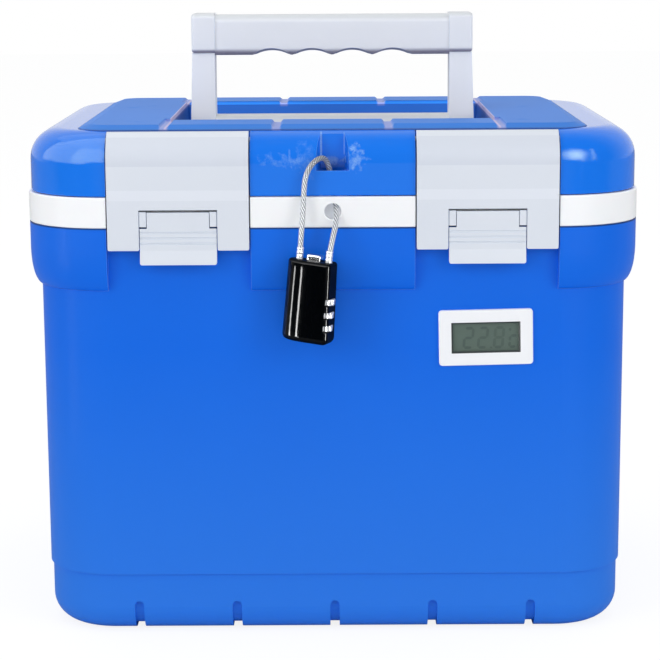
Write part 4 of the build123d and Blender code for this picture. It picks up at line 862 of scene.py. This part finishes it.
def bar_outline(kind, width, height):
    """Six-cornered bar of a seven-segment digit, in millimetres from the digit's centre."""
    half_w, half_h, half_bar = width / 2, height / 2, BAR_W / 2
    level = {"a": half_h, "g": 0.0, "d": -half_h}
    if kind in level:
        x, y = half_w - BAR_GAP - half_bar, level[kind]
        return np.array([(-x - half_bar, y), (-x, y + half_bar), (x, y + half_bar),
                         (x + half_bar, y), (x, y - half_bar), (-x, y - half_bar)])
    x = half_w if kind in "bc" else -half_w
    low, high = (0.0, half_h) if kind in "bf" else (-half_h, 0.0)
    low, high = low + BAR_GAP + half_bar, high - BAR_GAP - half_bar
    return np.array([(x, low - half_bar), (x + half_bar, low), (x + half_bar, high),
                     (x, high + half_bar), (x - half_bar, high), (x - half_bar, low)])


def panel_point(flat, out):
    """Panel millimetres to the frame: centre + x across + y up + out towards the front."""
    return (PANEL_CENTRE + (flat[..., :1] * PANEL_ACROSS + flat[..., 1:] * PANEL_UP
                            + out * PANEL_OUT) / 1000)


def prisms(name, shapes, low, high, material):
    """One mesh of flat prisms over many outlines with the same number of corners."""
    count, corners = shapes.shape[:2]
    points = np.concatenate([panel_point(shapes, low), panel_point(shapes, high)], axis=1)
    start = (np.arange(count) * 2 * corners)[:, None]
    ring = np.arange(corners)[None, :]
    after = (ring + 1) % corners
    lids = np.concatenate([start + ring, start + corners + ring[:, ::-1]])
    walls = np.stack([start + ring, start + corners + ring, start + corners + after,
                      start + after], axis=-1).reshape(-1, 4)
    return new_piece(name, points.reshape(-1, 3), lids.tolist() + walls.tolist(), material)


outlines = []
for symbol, across, up, width, height in DIGITS:
    for kind in SEGMENTS[symbol]:
        shape = bar_outline(kind, width, height)
        shape[:, 0] += SLANT * shape[:, 1]
        outlines.append(shape + (across, up))
for across, up, radius in DOTS:
    angle = np.arange(6) * np.pi / 3
    outlines.append(np.stack([across + radius * np.cos(angle),
                              up + radius * np.sin(angle)], axis=1))
# crystal that is switched on: a shade darker than the film it lies in
digits = prisms("thermometer_digits", np.array(outlines), 0.0, BAR_THICK_MM,
                clouded_finish("switched_liquid_crystal", 6.0, 2.0, ("4F6058", "586960"), 0.25))
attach(digits, "box")

# ------------------------------------------------------------------ cold packs
# Four flat bottles blow-moulded in frosted polyethylene and filled with blue-tinted water.
# They stand loose round the chamber's walls.
dress(["cold_pack_front", "cold_pack_back", "cold_pack_left", "cold_pack_right"],
      moulded_plastic("frosted_polyethylene", "8FBEE2", "A9D0EC", 0.42, scuff=0.3, ior=1.51,
                      scatter=0.4))

# ------------------------------------------------------------------ cable lock
# Die-cast zinc body in gloss black enamel; three dials and a button in bright plating.
# It hangs by its cable, turned a little to one side and leaning.
LOCK_CENTRE = np.array([-0.0113, -0.1252, 0.1758])
LOCK_TURN, LOCK_LEAN = radians(-19.0), radians(5.5)
LOCK_UP = np.array([sin(LOCK_LEAN), 0.0, cos(LOCK_LEAN)])
LOCK_ACROSS = np.array([cos(LOCK_TURN) * cos(LOCK_LEAN), sin(LOCK_TURN),
                        -cos(LOCK_TURN) * sin(LOCK_LEAN)])
LOCK_BACK = np.cross(LOCK_UP, LOCK_ACROSS)


def in_lock(across, back, up):
    """Lock millimetres to the frame: centre + across + back + up, each along its own axis."""
    across, back, up = np.broadcast_arrays(across, back, up)
    return LOCK_CENTRE + (across[..., None] * LOCK_ACROSS + back[..., None] * LOCK_BACK
                          + up[..., None] * LOCK_UP) / 1000


# stoved enamel: black and mirror-like with a slow ripple; the two ends and the side with
# the dials keep the duller skin of the casting
ENAMEL_FLOW_MM, ENAMEL_SPECK_MM, RIPPLE_DEEP = 5.0, 0.5, 0.00008
DULL_FROM, DULL_FULL = 0.15, 0.60
material, tree = new_material("black_enamel")
coords = add_node(tree, "TexCoord").outputs
flow = add_node(tree, "TexNoise", Vector=coords["Object"], Scale=1000 / ENAMEL_FLOW_MM,
                Detail=2.0)
specks = add_node(tree, "TexNoise", Vector=coords["Object"], Scale=1000 / ENAMEL_SPECK_MM,
                  Detail=3.0)
tone = add_node(tree, "Mix", {"data_type": "RGBA"}, Factor=specks,
                _6=linear("010204"), _7=linear("040609"))
upright = add_node(tree, "VectorMath", {"operation": "DOT_PRODUCT"}, _0=coords["Normal"],
                   _1=tuple(LOCK_UP))
endwise = add_node(tree, "Math", {"operation": "ABSOLUTE"}, _0=upright)
sidewise = add_node(tree, "VectorMath", {"operation": "DOT_PRODUCT"}, _0=coords["Normal"],
                    _1=tuple(LOCK_ACROSS))
flank = add_node(tree, "MapRange", _0=sidewise, _1=0.70, _2=0.90, _3=0.0, _4=0.6)
dull = add_node(tree, "Math", {"operation": "MAXIMUM"}, _0=endwise, _1=flank)
index = add_node(tree, "MapRange", _0=dull, _1=DULL_FROM, _2=DULL_FULL, _3=1.32, _4=1.12)
blast = add_node(tree, "MapRange", _0=dull, _1=DULL_FROM, _2=DULL_FULL, _3=0.0, _4=0.40)
gloss = add_node(tree, "MapRange", _0=specks, _3=0.04, _4=0.10)
rough = add_node(tree, "Math", {"operation": "ADD"}, _0=gloss, _1=blast)
ripple = add_node(tree, "Bump", Height=flow, Strength=0.4, Distance=RIPPLE_DEEP)
finish_material(tree, add_node(tree, "BsdfPrincipled", Base_Color=tone, Roughness=rough,
                               Normal=ripple, IOR=index))
black_enamel = material
dress(["lock_body"], black_enamel)

# polished chrome plating: mirror-like, dulled in spots by thumbs, which are drawn 0.8 mm
# wide so that they show
dress(["release_button"], clouded_finish("bright_chrome", 0.8, 4.0, ("C4C5C7", "DCDDDF"),
                                         (0.08, 0.26), Metallic=1.0))
# ferrules and wheels are plated in satin nickel, whiter and less mirror-like than chrome
nickel = clouded_finish("satin_nickel", 0.6, 4.0, ("DCDDE0", "F2F3F5"), (0.22, 0.38),
                        Metallic=0.55)

# Each ferrule is a thin steel sleeve crimped on the cable's end in two places.
SOCKET_U, FERRULE_R, FERRULE_BORE, FERRULE_LOW, FERRULE_TOP = 7.6, 1.72, 1.47, 18.0, 26.6
CRIMPS_AT, CRIMP_DEEP, CRIMP_HALF, MOUTH_BREAK = (23.2, 25.2), 0.16, 0.35, 0.12
FERRULE_STEPS, FERRULE_SIDES = 50, 36


def ferrule_rings(u):
    """Sleeve section swept about the cable: R less a dent D exp(-((h - hc)/w)^2) per crimp."""
    up = np.linspace(FERRULE_LOW, FERRULE_TOP, FERRULE_STEPS)
    radius = np.full(FERRULE_STEPS, FERRULE_R)
    for crimp in CRIMPS_AT:
        radius -= CRIMP_DEEP * np.exp(-((up - crimp) / CRIMP_HALF) ** 2)
    radius[-1] -= MOUTH_BREAK
    radius = np.concatenate([radius, [FERRULE_BORE, FERRULE_BORE]])[:, None]
    up = np.concatenate([up, [FERRULE_TOP, FERRULE_LOW]])[:, None]
    angle = round_angles(FERRULE_SIDES)
    return in_lock(u + radius * np.cos(angle), radius * np.sin(angle), up)


for side, u in (("left", -SOCKET_U), ("right", SOCKET_U)):
    ferrule = skin(f"lock_ferrule_{side}", ferrule_rings(u), nickel, ring_closed=True)
    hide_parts("lock_ferrules")
    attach(ferrule, "padlock")

# The body's left side is a fuller barrel cast in one with it, in the same enamel.
BARREL_LEFT, BARREL_MIDDLE, BARREL_FRONT = -13.0, -1.0, 6.58
BARREL_LOW, BARREL_TOP, LOW_ROUND, TOP_ROUND = -19.48, 20.97, 3.0, 1.5
BARREL_SIDES, ROUND_STEPS, STRAIGHT_STEPS = 40, 9, 14


def barrel_rings():
    """Half ellipse x = m - a cos s, y = b sin s, closed by its flat side.

    Near an end the half axes a and b shrink by R - sqrt(R^2 - (R - d)^2), with d the
    distance to the end, so that the ends are rounded by R.
    """
    turn = np.linspace(-np.pi / 2, np.pi / 2, BARREL_SIDES)[None, :]
    steps = np.linspace(0, 1, ROUND_STEPS)
    low = BARREL_LOW + LOW_ROUND * (1 - np.cos(steps * np.pi / 2))
    top = BARREL_TOP - TOP_ROUND * (1 - np.cos(steps[::-1] * np.pi / 2))
    straight = np.linspace(low[-1], top[0], STRAIGHT_STEPS)[1:-1]
    up = np.concatenate([low, straight, top])[:, None]
    inset = np.zeros_like(up)
    for end, rounding in ((BARREL_LOW, LOW_ROUND), (BARREL_TOP, TOP_ROUND)):
        short = np.clip(rounding - np.abs(up - end), 0, rounding)
        inset += rounding - np.sqrt(rounding ** 2 - short ** 2)
    return in_lock(BARREL_MIDDLE - (BARREL_MIDDLE - BARREL_LEFT - inset) * np.cos(turn),
                   (BARREL_FRONT - inset) * np.sin(turn), up)


barrel = skin("lock_body_barrel", barrel_rings(), black_enamel)
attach(barrel, "padlock")

# Each dial is a die-cast wheel with ten flats between notches, numbered 0 to 9 in black.
DIAL_U, DIAL_R, DIAL_HALF, DIAL_BORE = 6.7, 5.78, 1.54, 1.26
NUMBERS, NOTCH_DEEP, EDGE_BREAK, WHEEL_SIDES = 10, 0.62, 0.35, 160
NUMBER_TALL, PAINT_PROUD, PAINT_THICK = 1.75, 0.015, 0.00003
READ_AT = radians(-38.0)
# body, height on the spindle, number shown
DIALS = (("dial_one", 1.8, 4), ("dial_two", -4.7, 7), ("dial_three", -11.2, 2))


def about_spindle(radius, angle, height):
    """Lock millimetres to the frame, from a radius and angle about the dials' spindle."""
    return in_lock(DIAL_U + radius * np.cos(angle), radius * np.sin(angle), height)


def dial_rings(height, first):
    """Wheel section swept about the spindle, with the rim cut by ten notches.

    Rim radius is R - D ((1 - cos 10(a - first)) / 2)^6, less the broken edges, and the
    section runs rim, top, bore, bottom.
    """
    angle = round_angles(WHEEL_SIDES)
    notch = ((1 - np.cos(NUMBERS * (angle - first))) / 2) ** 6
    broken = np.array([EDGE_BREAK, 0.0, 0.0, 0.0, EDGE_BREAK])[:, None]
    rim = DIAL_R - NOTCH_DEEP * notch - broken
    radius = np.concatenate([rim, np.full((2, WHEEL_SIDES), DIAL_BORE)])
    flat = DIAL_HALF - EDGE_BREAK
    up = np.array([-DIAL_HALF, -flat, 0.0, flat, DIAL_HALF, DIAL_HALF, -DIAL_HALF])
    return about_spindle(radius, angle, up[:, None] + height)


def number_faces(symbol):
    """Flat outline of one number as points and faces, its middle at the origin, 1 tall."""
    text = bpy.data.curves.new("number", "FONT")
    text.body = symbol
    text.resolution_u = 3
    holder = bpy.data.objects.new("number", text)
    bpy.context.collection.objects.link(holder)
    flat = bpy.data.meshes.new_from_object(holder)
    points = np.empty(len(flat.vertices) * 3)
    flat.vertices.foreach_get("co", points)
    faces = [list(face.vertices) for face in flat.polygons]
    bpy.data.objects.remove(holder)
    bpy.data.curves.remove(text)
    bpy.data.meshes.remove(flat)
    points = points.reshape(-1, 3)[:, :2]
    low, high = points.min(axis=0), points.max(axis=0)
    return (points - (low + high) / 2) / (high - low)[1], faces


def dial_numbers(name, height, first, material):
    """Numbers 0 to 9 bent round the rim: x becomes the angle x / R, y the height."""
    points, faces = [], []
    for step in range(NUMBERS):
        flat, outline = number_faces(str(step))
        flat = flat * NUMBER_TALL
        start = sum(len(part) for part in points)
        angle = first + step * 2 * np.pi / NUMBERS + flat[:, 0] / DIAL_R
        points.append(about_spindle(DIAL_R + PAINT_PROUD, angle, flat[:, 1] + height))
        faces += [[start + corner for corner in face] for face in outline]
    piece = new_piece(name, np.concatenate(points), faces, material)
    paint = piece.modifiers.new("paint", "SOLIDIFY")
    paint.thickness = PAINT_THICK
    paint.offset = -1.0
    return piece


# filled paint: soft black, chipped to grey in specks
number_paint = clouded_finish("black_filled_numbers", 0.3, 3.0, ("0B0B0C", "26262A"), 0.4)

for order, (body, height, shown) in enumerate(DIALS, start=1):
    first = READ_AT - shown * 2 * np.pi / NUMBERS
    wheel = skin(f"lock_wheel_{order}", dial_rings(height, first), nickel,
                 ring_closed=True, smooth=False)
    numbers = dial_numbers(f"lock_numbers_{order}", height, first, number_paint)
    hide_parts(f"dial_{order}")
    for piece in (wheel, numbers):
        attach(piece, body)
